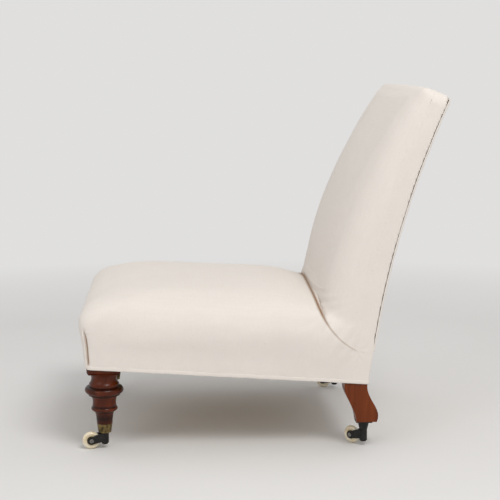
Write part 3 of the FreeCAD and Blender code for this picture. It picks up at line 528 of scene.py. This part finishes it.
def clear_of_frame(co, no, gap=0.0011, reach=0.008):
    """Lifts the cloth's points that come too near the wooden frame inside."""
    frame_nodes = [o for n, o in NODES.items() if n.startswith(("rear_leg", "front_leg", "side_rail"))
                   or n in ("front_rail", "rear_rail", "back_top_rail")]
    tree = surface_tree(*frame_nodes)
    out = co.copy()
    for i, p in enumerate(co):
        spot, normal, _, _ = tree.find_nearest(Vector(p), reach)
        if spot is None:
            continue
        away = (Vector(p) - spot).dot(normal)
        if away < gap:
            out[i] = p + no[i] * (gap - away)
    return out


def pin_weights(co):
    """1 where the cloth is held: at the hem, in the crease and along the back's rear edges."""
    away, share = crease_distance(co)
    rear = np.array([arc_y(REAR_C, REAR_R, min(z, 0.76)) for z in co[:, 2]])
    pins = 1 - smooth_step((hem_height(co) - 0.010) / 0.05)
    crease = (np.abs(away) < 0.0065) & (share > -0.25) & (share < 1.12)
    pins = np.maximum(pins, crease * 1.0)
    return np.maximum(pins, 1 - smooth_step((rear - co[:, 1] - 0.004) / 0.03))


def inflate(body, co, no, pins):
    """Puffs the skin, then holds back inward moves, so that no wood shows, and caps outward ones."""
    set_points(body, co - no * (START_INSET * (1 - pins))[:, None])
    puff(body, pins, PRESSURE, PUFF_CAP, CLOTH_FRAMES)
    shift = points_of(body) - co
    rise = (shift * no).sum(axis=1)
    along = shift - no * rise[:, None]
    rise = np.where(rise < 0, INWARD_SHARE * rise, np.minimum(rise, OUTWARD_CAP))
    set_points(body, co + along * ALONG_SHARE + no * rise[:, None])


def swell_seat(co):
    """Raises the middle of the seat's rear, in front of the crease."""
    away, share = crease_distance(co)
    crown = np.clip(1 - ((co[:, 0] - 0.03) / 0.235) ** 2, 0, 1) ** 0.8
    crown *= smooth_step((co[:, 1] + 0.12) / 0.22) * smooth_step((co[:, 2] - 0.20) / 0.08)
    crown *= (away > 0) & (share < 1.0) & (co[:, 2] < 0.34)
    co[:, 2] += SEAT_RISE * crown
    co[:, 1] += SEAT_LEAN * crown * smooth_step((co[:, 1] - 0.05) / 0.06)


def build_upholstery():
    """Seat and back in one skin, inflated, smoothed and detailed."""
    slot_tool = crease_slot()
    seat = boolean(seat_form(), slot_tool, "DIFFERENCE")
    back = boolean(back_form(), slot_tool, "DIFFERENCE")
    drop(slot_tool)
    body = remesh(join(seat, back), VOXEL)
    co, no = points_of(body), normals_of(body)
    pins = pin_weights(co)
    inflate(body, co, no, pins)
    set_points(body, relax(points_of(body), edges_of(body), 1 - pins, RELAX_ROUNDS))
    fine = body.modifiers.new("fine", "SUBSURF")
    fine.levels = fine.render_levels = 1
    bake(body)
    co, no = points_of(body), normals_of(body)
    side = np.abs(co[:, 0])
    flush = smooth_step((co[:, 1] - 0.150) / 0.05) * (co[:, 2] < 0.30)
    over = np.maximum(side - HALF, 0)
    co[:, 0] -= np.sign(co[:, 0]) * over * flush * 0.9
    co = crease_remap(co)
    swell_seat(co)
    co += no * (fabric_relief(co) - SLIT_DEPTH * pleat_slit(co))[:, None]
    high = hem_height(co) > BOTTOM_LEVEL
    co = np.where(high[:, None], clear_of_frame(co, no), co)
    set_points(body, co)
    return body


def crease_shade(co):
    """How strongly painted shade darkens the cloth at each point, in the crease and in the pleat's slit."""
    away, share = crease_distance(co)
    reach = np.interp(share, (-0.4, 0.0, 0.3, 1.0), (0.0036, 0.0034, 0.0018, 0.0009))
    depth = np.exp(-(away / reach) ** 2) * (share > -0.4) * (1 - smooth_step((share - 0.93) / 0.08))
    depth *= np.interp(share, (0.05, 0.30, 1.0), (1.0, 0.60, 0.40))
    return np.maximum(depth, pleat_slit(co))


def face_vectors(obj, key):
    values = np.empty(len(obj.data.polygons) * 3)
    obj.data.polygons.foreach_get(key, values)
    return values.reshape(-1, 3)


def split_upholstery(body):
    """Seat and back as pieces of their own, parted at the crease, with one shading across it."""
    body.data.update()
    normals = normals_of(body)
    # The shade attribute holds the painted shade for the crease and the pleat's slit
    shade = body.data.attributes.new("shade", "FLOAT", "POINT")
    shade.data.foreach_set("value", crease_shade(points_of(body)).astype(np.float32))
    attribute = body.data.attributes.new("whole_normal", "FLOAT_VECTOR", "POINT")
    attribute.data.foreach_set("vector", normals.astype(np.float32).ravel())
    centres = face_vectors(body, "center")
    away, share = crease_distance(centres)
    line_z = CREASE_END[1] - (centres[:, 1] - CREASE_END[0]) * math.tan(SLOPE)
    behind_crease = (share <= 1) & (away < 0)
    past_its_end = (share > 1) & (centres[:, 2] > line_z)
    is_back = (centres[:, 2] > 0.35) | behind_crease | past_its_end
    bottom = (hem_height(centres) < BOTTOM_LEVEL) & (face_vectors(body, "normal")[:, 2] < -0.5)
    made = []
    for name, keep in (("seat_upholstery", ~is_back & ~bottom), ("back_upholstery", is_back & ~bottom)):
        bm = bmesh.new()
        bm.from_mesh(body.data)
        bm.faces.ensure_lookup_table()
        gone = [bm.faces[i] for i in np.nonzero(~keep)[0]]
        bmesh.ops.delete(bm, geom=gone, context="FACES")
        mesh = bpy.data.meshes.new(name)
        bm.to_mesh(mesh)
        bm.free()
        obj = bpy.data.objects.new(name, mesh)
        scene.collection.objects.link(obj)
        shade_smooth(obj)
        kept = np.empty(len(mesh.vertices) * 3, np.float32)
        mesh.attributes["whole_normal"].data.foreach_get("vector", kept)
        mesh.normals_split_custom_set_from_vertices([tuple(n) for n in kept.reshape(-1, 3)])
        mesh.attributes.remove(mesh.attributes["whole_normal"])
        made.append(obj)
    drop(body)
    return made


seat_piece, back_piece = split_upholstery(build_upholstery())


# Trim round the upholstery, the panel behind and the cloth below

def sweep_ring(name, centres, outs, ups, section):
    """A closed strip: the section (out, up) placed at every point of a closed ring."""
    count, rows = len(centres), len(section[0])
    verts = []
    for i in range(count):
        for o, u in section[i]:
            verts.append(centres[i] + outs[i] * o + ups[i] * u)
    faces = []
    for i in range(count):
        j = (i + 1) % count
        for k in range(rows):
            m = (k + 1) % rows
            faces.append((i * rows + k, j * rows + k, j * rows + m, i * rows + m))
    obj = new_object(name, verts, faces)
    fix_normals(obj)
    shade_smooth(obj)
    return obj


def hem_band():
    """The cloth's turned lower edge: a thin folded band, with its return tacked under the rails."""
    rough = plan_ring(SEAT_LEVELS[0], corner=14, side=200)
    step = np.linalg.norm(np.roll(rough, -1, axis=0) - rough, axis=1)
    at = np.concatenate([[0], np.cumsum(step)])
    total = at[-1]
    count = 760
    want = np.linspace(0, total, count, endpoint=False)
    closed = np.concatenate([rough, rough[:1]])
    ring = np.stack([np.interp(want, at, closed[:, k]) for k in range(3)], axis=1)
    along = np.roll(ring, -1, axis=0) - np.roll(ring, 1, axis=0)
    along /= np.linalg.norm(along, axis=1)[:, None]
    up = np.array((0, math.sin(SLOPE), math.cos(SLOPE)))
    outs = np.cross(along, up)
    middle = ring.mean(axis=0)
    if ((ring - middle) * outs).sum() < 0:
        outs = -outs
    wave = noise_field(ring, 34.0, seed=2.2)
    slow = noise_field(ring, 9.0, seed=7.7)
    leg_reach, rear_leg_y = 0.078, 0.165
    sections = []
    for i, p in enumerate(ring):
        at_leg = abs(p[0]) > HALF - leg_reach and (p[1] < HEM_Y + leg_reach or p[1] > rear_leg_y)
        width = 0.0016 if at_leg else 0.016
        drop_by = 0.0007 * wave[i] + 0.0006 * slow[i]
        tall = 0.0072 + 0.0012 * wave[i]
        sections.append((
            (-width, 0.0016), (-width, 0.0004), (-0.0010, -0.0008 + drop_by),
            (0.0006, -0.0004 + drop_by), (0.0012, 0.0010 + drop_by), (0.0009, 0.0032),
            (0.0011, tall - 0.0014), (0.0009, tall - 0.0003), (0.0002, tall), (-0.0006, tall - 0.0006),
        ))
    return sweep_ring("seat_hem", ring, outs, np.tile(up, (count, 1)), sections)


def pleat_flaps(tree):
    """The folded cloth at each front corner, with its free edge down the corner's middle."""
    verts, faces = [], []
    section = ((-0.016, -0.0010), (-0.012, 0.0002), (-0.007, 0.0009), (-0.003, 0.0014),
               (-0.0008, 0.0024), (0.0004, 0.0021), (0.0008, 0.0010), (0.0003, -0.0008),
               (-0.006, -0.0014), (-0.012, -0.0020))
    rows = spline_rows(SEAT_LEVELS, 400)
    levels = np.linspace(0.0005, 0.096, 40)
    for sign in (-1, 1):
        first = len(verts)
        for k, h in enumerate(levels):
            row = rows[np.abs(rows[:, 0] - h).argmin()].copy()
            taper = 1 - smooth_step((h - 0.066) / 0.026)
            radius = max(row[4], 0.001)
            middle_x = sign * (HALF + row[3] - radius)
            middle_s = -row[1] + radius
            wave = 0.0012 * math.sin(h * 46) + 0.0006 * math.sin(h * 131)
            for w, lift in section:
                turn = math.radians(45) - (w * (0.5 + 0.5 * taper) + wave) / radius
                x = middle_x + sign * radius * math.sin(math.pi / 2 - turn)
                s = middle_s - radius * math.cos(math.pi / 2 - turn)
                guess = Vector(hem_place(np.array(x), np.array(s), np.array(h)))
                spot, normal, _, _ = tree.find_nearest(guess)
                raised = lift * taper if lift > 0 else lift
                verts.append(spot + normal * (raised - 0.0012 * (1 - taper)))
        count = len(section)
        for k in range(len(levels) - 1):
            for m in range(count):
                n = (m + 1) % count
                i = first + k * count
                faces.append((i + m, i + n, i + count + n, i + count + m))
        faces.append(tuple(first + m for m in range(count)))
        last = first + (len(levels) - 1) * count
        faces.append(tuple(last + m for m in range(count))[::-1])
    obj = new_object("corner_pleats", verts, faces)
    fix_normals(obj)
    shade_smooth(obj)
    return obj


def outside_back_panel():
    """The cloth panel behind, with rolled edges that stand a little proud of the cover."""
    z0, z1 = PANEL_LOW, PANEL_HIGH
    nx, nz = 150, 190
    rolled, proud, swell = 0.0028, 0.0030, 0.0018
    xs = np.sin(np.linspace(-math.pi / 2, math.pi / 2, nx))
    zs = (z0 + z1) / 2 + (z1 - z0) / 2 * np.sin(np.linspace(-math.pi / 2, math.pi / 2, nz))
    half = HALF - PANEL_INSET
    verts, faces = [], []
    for z in zs:
        for across in xs:
            x = across * half
            top_limit = -TOP_DROP * across ** 2
            edge = max(min(half - abs(x), z - z0, top_limit - (z - z1)), 0.0)
            roll = min(edge / rolled, 1)
            puffed = proud * math.sqrt(1 - (1 - roll) ** 2) + swell * min(1, edge / 0.10)
            wave = math.sin((x + z) * 2 * math.pi / RIPPLE_PITCH)
            ripple = 0.0004 * wave * math.exp(-edge / 0.02) * roll
            hollow = 0.0009 * noise.noise(Vector((x * 7, z * 7, 4.4)))
            depth = 0.0004 - puffed - ripple - hollow * min(1, edge / 0.03)
            p = back_point(z + min(0.0, top_limit), depth)
            verts.append((x, p[0], p[1]))
    for b in range(nz - 1):
        for a in range(nx - 1):
            i = b * nx + a
            faces.append((i, i + 1, i + nx + 1, i + nx))
    obj = new_object("outside_back_panel", verts, faces)
    solid = obj.modifiers.new("thick", "SOLIDIFY")
    solid.thickness = 0.0014
    solid.offset = -1
    bake(obj)
    fix_normals(obj)
    shade_smooth(obj)
    return obj


def under_sheet():
    """The cloth under the seat, cut round the legs and hanging a little in its middle."""
    half, edge = 0.2567, 0.0053
    block_x, block_y, leg_x, leg_y = 0.1894, -0.2954, 0.2174, 0.1705
    block_s = (block_y - HEM_Y) / math.cos(SLOPE)
    leg_s = (leg_y - HEM_Y) / math.cos(SLOPE)
    xs = sorted(set(np.round(np.linspace(-half, half, 90), 5)) | {block_x, -block_x, leg_x, -leg_x})
    ss = sorted(set(np.round(np.linspace(edge, HEM_LENGTH - edge, 100), 5)) | {block_s, leg_s})
    verts = []
    for sv in ss:
        for x in xs:
            t = (1 - (x / half) ** 2) * math.sin(math.pi * (sv - edge) / (HEM_LENGTH - 2 * edge))
            sag = 0.0030 * max(t, 0) + 0.0008 * noise.noise(Vector((x * 14, sv * 14, 8.1))) * max(t, 0)
            verts.append(hem_place(np.array(x), np.array(sv), np.array(0.0011 - sag)))
    faces, area = [], 0.0
    for b in range(len(ss) - 1):
        for a in range(len(xs) - 1):
            x, sv = (xs[a] + xs[a + 1]) / 2, (ss[b] + ss[b + 1]) / 2
            if (abs(x) > block_x and sv < block_s) or (abs(x) > leg_x and sv > leg_s):
                continue
            area += (xs[a + 1] - xs[a]) * (ss[b + 1] - ss[b])
            i = b * len(xs) + a
            faces.append((i, i + 1, i + len(xs) + 1, i + len(xs)))
    obj = new_object("under_sheet", verts, faces)
    bm = bmesh.new()
    bm.from_mesh(obj.data)
    bmesh.ops.delete(bm, geom=[v for v in bm.verts if not v.link_faces], context="VERTS")
    bm.to_mesh(obj.data)
    bm.free()
    solid = obj.modifiers.new("thick", "SOLIDIFY")
    solid.thickness = 0.0009
    solid.offset = -1
    bake(obj)
    fix_normals(obj)
    shade_smooth(obj)
    return obj, (2 * half, HEM_LENGTH - 2 * edge), area


def thread_tufts():
    """A few frayed threads below the near hem."""
    rng = np.random.default_rng(11)
    radius, rings, sides = 0.00028, 6, 6
    verts, faces = [], []
    places = list(rng.uniform(-0.06, 0.02, 9)) + list(rng.uniform(-0.34, 0.20, 9))
    for sign, count in ((1, len(places)), (-1, 7)):
        for y0 in places[:count]:
            length = rng.uniform(0.003, 0.008)
            sway = rng.uniform(-0.004, 0.004, 2)
            hem_z = HEM_Z - (y0 - HEM_Y) * math.tan(SLOPE)
            base = np.array((sign * (HALF + 0.0006), y0, hem_z + 0.0005))
            first = len(verts)
            for k in range(rings):
                t = k / (rings - 1)
                c = base + np.array((sign * 0.001 * t + sway[1] * 0.3 * t * t,
                                     sway[0] * t * t, -length * (t - 0.25 * t * t)))
                r = radius * (1 - 0.5 * t)
                for m in range(sides):
                    a = 2 * math.pi * m / sides
                    verts.append(c + np.array((r * math.cos(a), r * math.sin(a), 0)))
            for k in range(rings - 1):
                for m in range(sides):
                    n = (m + 1) % sides
                    i = first + k * sides
                    faces.append((i + m, i + n, i + sides + n, i + sides + m))
            faces.append(tuple(first + m for m in range(sides))[::-1])
            faces.append(tuple(first + (rings - 1) * sides + m for m in range(sides)))
    obj = new_object("frayed_threads", verts, faces)
    shade_smooth(obj)
    return obj


hem_piece = hem_band()
pleat_piece = pleat_flaps(surface_tree(seat_piece))
panel_piece = outside_back_panel()
threads_piece = thread_tufts()
under_piece, under_flat, under_area = under_sheet()


# Materials

def nodes_of(name):
    mat = bpy.data.materials.new(name)
    mat.use_nodes = True
    tree = mat.node_tree
    shader = next(n for n in tree.nodes if n.type == "BSDF_PRINCIPLED")
    return mat, tree, shader


class Builder:
    """Small helper for node trees."""

    def __init__(self, tree):
        self.tree = tree

    def node(self, kind, **values):
        n = self.tree.nodes.new(kind)
        for k, v in values.items():
            setattr(n, k, v)
        return n

    def link(self, a, b):
        self.tree.links.new(a, b)

    def math(self, operation, a, b=None, clamp=False):
        n = self.node("ShaderNodeMath", operation=operation, use_clamp=clamp)
        for i, v in enumerate((a, b)):
            if v is None:
                continue
            if isinstance(v, (int, float)):
                n.inputs[i].default_value = v
            else:
                self.link(v, n.inputs[i])
        return n.outputs[0]

    def coords(self, scale=(1, 1, 1)):
        c = self.node("ShaderNodeTexCoord")
        m = self.node("ShaderNodeMapping")
        m.inputs["Scale"].default_value = scale
        self.link(c.outputs["Object"], m.inputs["Vector"])
        return m.outputs["Vector"]

    def noise(self, scale, detail=3.0, roughness=0.5, stretch=(1, 1, 1), distortion=0.0):
        n = self.node("ShaderNodeTexNoise")
        n.inputs["Scale"].default_value = scale
        n.inputs["Detail"].default_value = detail
        n.inputs["Roughness"].default_value = roughness
        n.inputs["Distortion"].default_value = distortion
        self.link(self.coords(stretch), n.inputs["Vector"])
        return n.outputs["Fac"]

    def ramp(self, fac, stops):
        n = self.node("ShaderNodeValToRGB")
        while len(n.color_ramp.elements) < len(stops):
            n.color_ramp.elements.new(0.5)
        for e, (at, colour) in zip(n.color_ramp.elements, stops):
            e.position = at
            e.color = (*colour, 1)
        self.link(fac, n.inputs["Fac"])
        return n.outputs["Color"]

    def mix(self, fac, a, b, blend="MIX"):
        n = self.node("ShaderNodeMix", data_type="RGBA", blend_type=blend)
        for socket, v in ((n.inputs[0], fac), (n.inputs[6], a), (n.inputs[7], b)):
            if isinstance(v, (int, float)):
                socket.default_value = v
            elif isinstance(v, tuple):
                socket.default_value = (*v, 1)
            else:
                self.link(v, socket)
        return n.outputs[2]

    def bump(self, height, strength, distance):
        n = self.node("ShaderNodeBump")
        n.inputs["Strength"].default_value = strength
        n.inputs["Distance"].default_value = distance
        self.link(height, n.inputs["Height"])
        return n.outputs["Normal"]

    def weave(self, pitch):
        """Plain weave from the object's own coordinates, on whichever plane the surface faces."""
        k = 2 * math.pi / pitch
        sep = self.node("ShaderNodeSeparateXYZ")
        self.link(self.coords(), sep.inputs[0])
        waves = [self.math("SINE", self.math("MULTIPLY", sep.outputs[i], k)) for i in range(3)]
        geo = self.node("ShaderNodeNewGeometry")
        nsep = self.node("ShaderNodeSeparateXYZ")
        self.link(geo.outputs["Normal"], nsep.inputs[0])
        total = None
        for i, (a, b) in enumerate(((1, 2), (0, 2), (0, 1))):
            weight = self.math("POWER", self.math("ABSOLUTE", nsep.outputs[i]), 4.0)
            part = self.math("MULTIPLY", self.math("MULTIPLY", waves[a], waves[b]), weight)
            total = part if total is None else self.math("ADD", total, part)
        return total


def cloth_material(name, colour, pitch, relief, variation, fleck):
    mat, tree, shader = nodes_of(name)
    b = Builder(tree)
    weave = b.weave(pitch)
    slub_a = b.noise(260, 2, 0.6, (1, 0.05, 0.05))
    slub_b = b.noise(260, 2, 0.6, (0.05, 1, 0.6))
    slubs = b.math("MULTIPLY", slub_a, slub_b)
    broad = b.noise(5, 4, 0.55)
    light = tuple(min(1, c * (1 + variation)) for c in colour)
    dark = tuple(c * (1 - variation * 1.4) for c in colour)
    base = b.ramp(broad, ((0.3, dark), (0.7, light)))
    uneven = b.math("ADD", b.math("MULTIPLY", weave, 0.18), slubs)
    threads = b.ramp(uneven, ((0.1, tuple(c * 0.93 for c in colour)), (0.5, light)))
    base = b.mix(0.5, base, threads)
    spots = b.ramp(b.noise(420, 1, 0.4), ((0.74, (0, 0, 0)), (0.80, (1, 1, 1))))
    base = b.mix(b.math("MULTIPLY", spots, fleck), base, tuple(c * 0.55 for c in colour))
    # Painted shade: dark amber mixed into the cloth's colour in the crease and in the pleat's slit, as far
    # as the shade attribute says
    crease_painted_shade = b.node("ShaderNodeAttribute", attribute_name="shade")
    base = b.mix(crease_painted_shade.outputs["Fac"], base, tuple(c * t for c, t in zip(colour, (0.30, 0.17, 0.08))))
    b.link(base, shader.inputs["Base Color"])
    height = b.math("ADD", b.math("MULTIPLY", weave, 0.5), b.math("MULTIPLY", slubs, 1.2))
    b.link(b.bump(height, relief, 0.0003), shader.inputs["Normal"])
    shader.inputs["Roughness"].default_value = 0.92
    shader.inputs["Specular IOR Level"].default_value = 0.25
    shader.inputs["Sheen Weight"].default_value = 0.12
    shader.inputs["Sheen Roughness"].default_value = 0.5
    return mat


def wood_material(name, dark, light, gloss, along=2, cove_shade_and_dirt=None):
    mat, tree, shader = nodes_of(name)
    b = Builder(tree)
    stretch = [1, 1, 1]
    stretch[along] = 0.06
    fine = b.noise(420, 4, 0.65, tuple(stretch), 0.2)
    figure = b.noise(38, 3, 0.5, tuple(stretch), 1.2)
    pores = b.noise(900, 2, 0.7, tuple(stretch))
    grain = b.math("ADD", b.math("MULTIPLY", figure, 0.65), b.math("MULTIPLY", fine, 0.35))
    middle = tuple((p + q) / 2 for p, q in zip(dark, light))
    colour = b.ramp(grain, ((0.34, dark), (0.52, middle), (0.68, light)))
    # Dark bands at the given heights: painted shade in the turnings' coves, together with the dirt that
    # sits there
    if cove_shade_and_dirt:
        sep = b.node("ShaderNodeSeparateXYZ")
        b.link(b.coords(), sep.inputs[0])
        shade_and_dirt_bands = None
        for z, width in cove_shade_and_dirt:
            d = b.math("ABSOLUTE", b.math("SUBTRACT", sep.outputs[2], z))
            g = b.math("SUBTRACT", 1.0, b.math("DIVIDE", d, width), clamp=True)
            shade_and_dirt_bands = g if shade_and_dirt_bands is None else b.math("MAXIMUM", shade_and_dirt_bands, g)
        colour = b.mix(b.math("MULTIPLY", shade_and_dirt_bands, 0.85), colour, tuple(c * 0.15 for c in dark))
    b.link(colour, shader.inputs["Base Color"])
    worn = b.noise(24, 4, 0.6)
    rough = b.math("ADD", b.math("MULTIPLY", worn, 0.22), gloss)
    b.link(rough, shader.inputs["Roughness"])
    b.link(b.bump(pores, 0.12, 0.0002), shader.inputs["Normal"])
    shader.inputs["Specular IOR Level"].default_value = 0.18
    shader.inputs["Coat Weight"].default_value = 0.12
    shader.inputs["Coat Roughness"].default_value = 0.18
    return mat


def plain_wood(name, dark, light):
    mat = wood_material(name, dark, light, 0.5, along=0)
    shader = next(n for n in mat.node_tree.nodes if n.type == "BSDF_PRINCIPLED")
    shader.inputs["Coat Weight"].default_value = 0.0
    return mat


def metal_material(name, clean, dirty, rough, metallic):
    mat, tree, shader = nodes_of(name)
    b = Builder(tree)
    patina = b.noise(130, 5, 0.65)
    colour = b.ramp(patina, ((0.36, dirty), (0.64, clean)))
    b.link(colour, shader.inputs["Base Color"])
    b.link(b.math("ADD", b.math("MULTIPLY", b.noise(300, 3, 0.6), 0.25), rough), shader.inputs["Roughness"])
    b.link(b.bump(b.noise(900, 3, 0.6), 0.15, 0.0002), shader.inputs["Normal"])
    shader.inputs["Metallic"].default_value = metallic
    return mat


def porcelain_material():
    mat, tree, shader = nodes_of("porcelain_glaze")
    b = Builder(tree)
    cream = b.ramp(b.noise(60, 4, 0.6), ((0.3, (0.66, 0.53, 0.33)), (0.62, (0.83, 0.75, 0.58))))
    crack = b.node("ShaderNodeTexVoronoi", feature="DISTANCE_TO_EDGE")
    crack.inputs["Scale"].default_value = 160
    b.link(b.coords(), crack.inputs["Vector"])
    lines = b.ramp(crack.outputs["Distance"], ((0.0, (0.75, 0.7, 0.62)), (0.03, (1, 1, 1))))
    b.link(b.mix(1.0, cream, lines, "MULTIPLY"), shader.inputs["Base Color"])
    b.link(b.math("ADD", b.math("MULTIPLY", b.noise(80, 3, 0.5), 0.15), 0.2), shader.inputs["Roughness"])
    shader.inputs["Coat Weight"].default_value = 0.5
    return mat


calico = cloth_material("calico", (0.770, 0.715, 0.662), 0.0011, 0.35, 0.022, 0.35)
hessian = cloth_material("hessian", (0.40, 0.30, 0.17), 0.0032, 0.8, 0.12, 0.3)
jute = cloth_material("jute_webbing", (0.42, 0.32, 0.19), 0.0024, 0.8, 0.12, 0.2)

# Height and half width of each dark band in the front legs' turnings: painted shade in the coves, together
# with their dirt
COVE_SHADE_AND_DIRT = ((0.1335, 0.004), (0.1165, 0.004), (0.092, 0.004), (0.0815, 0.004), (0.066, 0.014))
leg_wood = wood_material("front_leg_polish", (0.024, 0.0030, 0.0005), (0.128, 0.0200, 0.0016), 0.20,
                         cove_shade_and_dirt=COVE_SHADE_AND_DIRT)
sabre_wood = wood_material("rear_leg_polish", (0.078, 0.0120, 0.0012), (0.200, 0.0400, 0.0040), 0.22)
rail_wood = plain_wood("rail_timber", (0.34, 0.22, 0.12), (0.52, 0.37, 0.22))
brass = metal_material("old_brass_metal", (0.26, 0.19, 0.075), (0.045, 0.032, 0.014), 0.34, 0.85)
iron = metal_material("black_iron", (0.022, 0.021, 0.020), (0.008, 0.008, 0.008), 0.35, 0.5)
steel = metal_material("dull_steel", (0.34, 0.33, 0.32), (0.14, 0.13, 0.12), 0.35, 0.9)
coppered = metal_material("spring_wire", (0.42, 0.26, 0.16), (0.20, 0.12, 0.08), 0.3, 0.9)
porcelain = porcelain_material()


def dress(obj, mat):
    obj.data.materials.clear()
    obj.data.materials.append(mat)


for node_name, node in NODES.items():
    if node_name.startswith("front_leg"):
        dress(node, leg_wood)
    elif node_name.startswith("rear_leg"):
        dress(node, sabre_wood)
    elif node_name.startswith("castor_wheel"):
        dress(node, porcelain)
    elif node_name.startswith(("castor_bush", "castor_cup")):
        dress(node, brass)
    elif (node_name.startswith(("castor_horn", "castor_plate_rear", "castor_pintle"))
          or "tacks" in node_name):
        dress(node, iron)
    elif node_name.startswith("castor_axle") or "screws" in node_name:
        dress(node, steel)
    elif node_name == "seat_springs":
        dress(node, coppered)
    elif "webbing" in node_name:
        dress(node, jute)
    elif node_name in ("seat_platform", "back_sacking", "bottom_cloth"):
        dress(node, hessian)
    elif "cover" in node_name or "stuffing" in node_name or node_name == "outside_back":
        dress(node, calico)
    else:
        dress(node, rail_wood)

for piece in (seat_piece, back_piece, hem_piece, pleat_piece, panel_piece, threads_piece):
    dress(piece, calico)
    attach(piece, ROOT)
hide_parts("seat_cover", "seat_stuffing")
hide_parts("back_cover", "back_stuffing")
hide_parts("outside_back")
dress(under_piece, hessian)
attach(under_piece, ROOT)
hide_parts("bottom_cloth")


# Floor, light and camera

BACKDROP = (0.745, 0.738, 0.732, 1)
WORLD_STRENGTH = 0.69
CAMERA_PLACE = (2.803, -0.186, 0.80)
CAMERA_TURN, CAMERA_PITCH = math.radians(3.57), math.radians(8.415)
SENSOR_MM, LENS_MM = 36, 90.72


def build_stage():
    floor = new_object("floor", [(-8, -8, 0), (8, -8, 0), (8, 8, 0), (-8, 8, 0)], [(0, 1, 2, 3)])
    mat, tree, shader = nodes_of("pale_floor")
    b = Builder(tree)
    colour = b.ramp(b.noise(1.4, 3, 0.5), ((0.35, (0.715, 0.705, 0.695)), (0.65, (0.735, 0.725, 0.715))))
    b.link(colour, shader.inputs["Base Color"])
    shader.inputs["Roughness"].default_value = 0.9
    shader.inputs["Specular IOR Level"].default_value = 0.1
    sep = b.node("ShaderNodeSeparateXYZ")
    b.link(b.coords((0.45, 0.40, 1)), sep.inputs[0])
    square = b.math("ADD", b.math("POWER", b.math("ABSOLUTE", sep.outputs[0]), 2.0),
                    b.math("POWER", b.math("ABSOLUTE", sep.outputs[1]), 2.0))
    distance = b.math("POWER", square, 0.5)
    far = b.math("SUBTRACT", distance, 0.55)
    seen = b.math("MULTIPLY", b.math("DIVIDE", far, 0.5, clamp=True),
                  b.node("ShaderNodeLightPath").outputs["Is Camera Ray"])
    glow = b.node("ShaderNodeEmission")
    glow.inputs["Color"].default_value = BACKDROP
    blend = b.node("ShaderNodeMixShader")
    out = next(n for n in tree.nodes if n.type == "OUTPUT_MATERIAL")
    b.link(seen, blend.inputs[0])
    b.link(shader.outputs[0], blend.inputs[1])
    b.link(glow.outputs[0], blend.inputs[2])
    b.link(blend.outputs[0], out.inputs["Surface"])
    floor.data.materials.append(mat)


def area_light(name, place, target, size, power, colour):
    data = bpy.data.lights.new(name, "AREA")
    data.shape = "DISK"
    data.size = size
    data.energy = power
    data.color = colour
    obj = bpy.data.objects.new(name, data)
    scene.collection.objects.link(obj)
    obj.location = place
    aim = Vector(target) - Vector(place)
    obj.rotation_mode = "QUATERNION"
    obj.rotation_quaternion = aim.to_track_quat("-Z", "Y")


def build_world(strength):
    world = bpy.data.worlds.new("studio")
    scene.world = world
    world.use_nodes = True
    tree = world.node_tree
    back = next(n for n in tree.nodes if n.type == "BACKGROUND")
    out = next(n for n in tree.nodes if n.type == "OUTPUT_WORLD")
    back.inputs["Color"].default_value = (1.0, 0.995, 0.985, 1)
    back.inputs["Strength"].default_value = strength
    seen = tree.nodes.new("ShaderNodeBackground")
    seen.inputs["Color"].default_value = BACKDROP
    seen.inputs["Strength"].default_value = 1.0
    mix = tree.nodes.new("ShaderNodeMixShader")
    path = tree.nodes.new("ShaderNodeLightPath")
    tree.links.new(path.outputs["Is Camera Ray"], mix.inputs[0])
    tree.links.new(back.outputs[0], mix.inputs[1])
    tree.links.new(seen.outputs[0], mix.inputs[2])
    tree.links.new(mix.outputs[0], out.inputs["Surface"])


def build_camera():
    level = math.cos(CAMERA_PITCH)
    ahead = Vector((-math.cos(CAMERA_TURN) * level, math.sin(CAMERA_TURN) * level,
                    -math.sin(CAMERA_PITCH)))
    data = bpy.data.cameras.new("camera")
    data.sensor_width = SENSOR_MM
    data.lens = LENS_MM
    cam = bpy.data.objects.new("camera", data)
    scene.collection.objects.link(cam)
    cam.location = CAMERA_PLACE
    cam.rotation_mode = "QUATERNION"
    cam.rotation_quaternion = ahead.to_track_quat("-Z", "Y")
    scene.camera = cam


build_stage()
build_world(WORLD_STRENGTH)
area_light("key", (2.3, 1.0, 3.4), (0, 0, 0.35), 1.6, 62, (1.0, 0.99, 0.975))
area_light("fill", (2.6, -2.4, 1.8), (0, 0, 0.4), 2.0, 15, (0.98, 0.99, 1.0))
build_camera()

scene.view_settings.view_transform = "Standard"
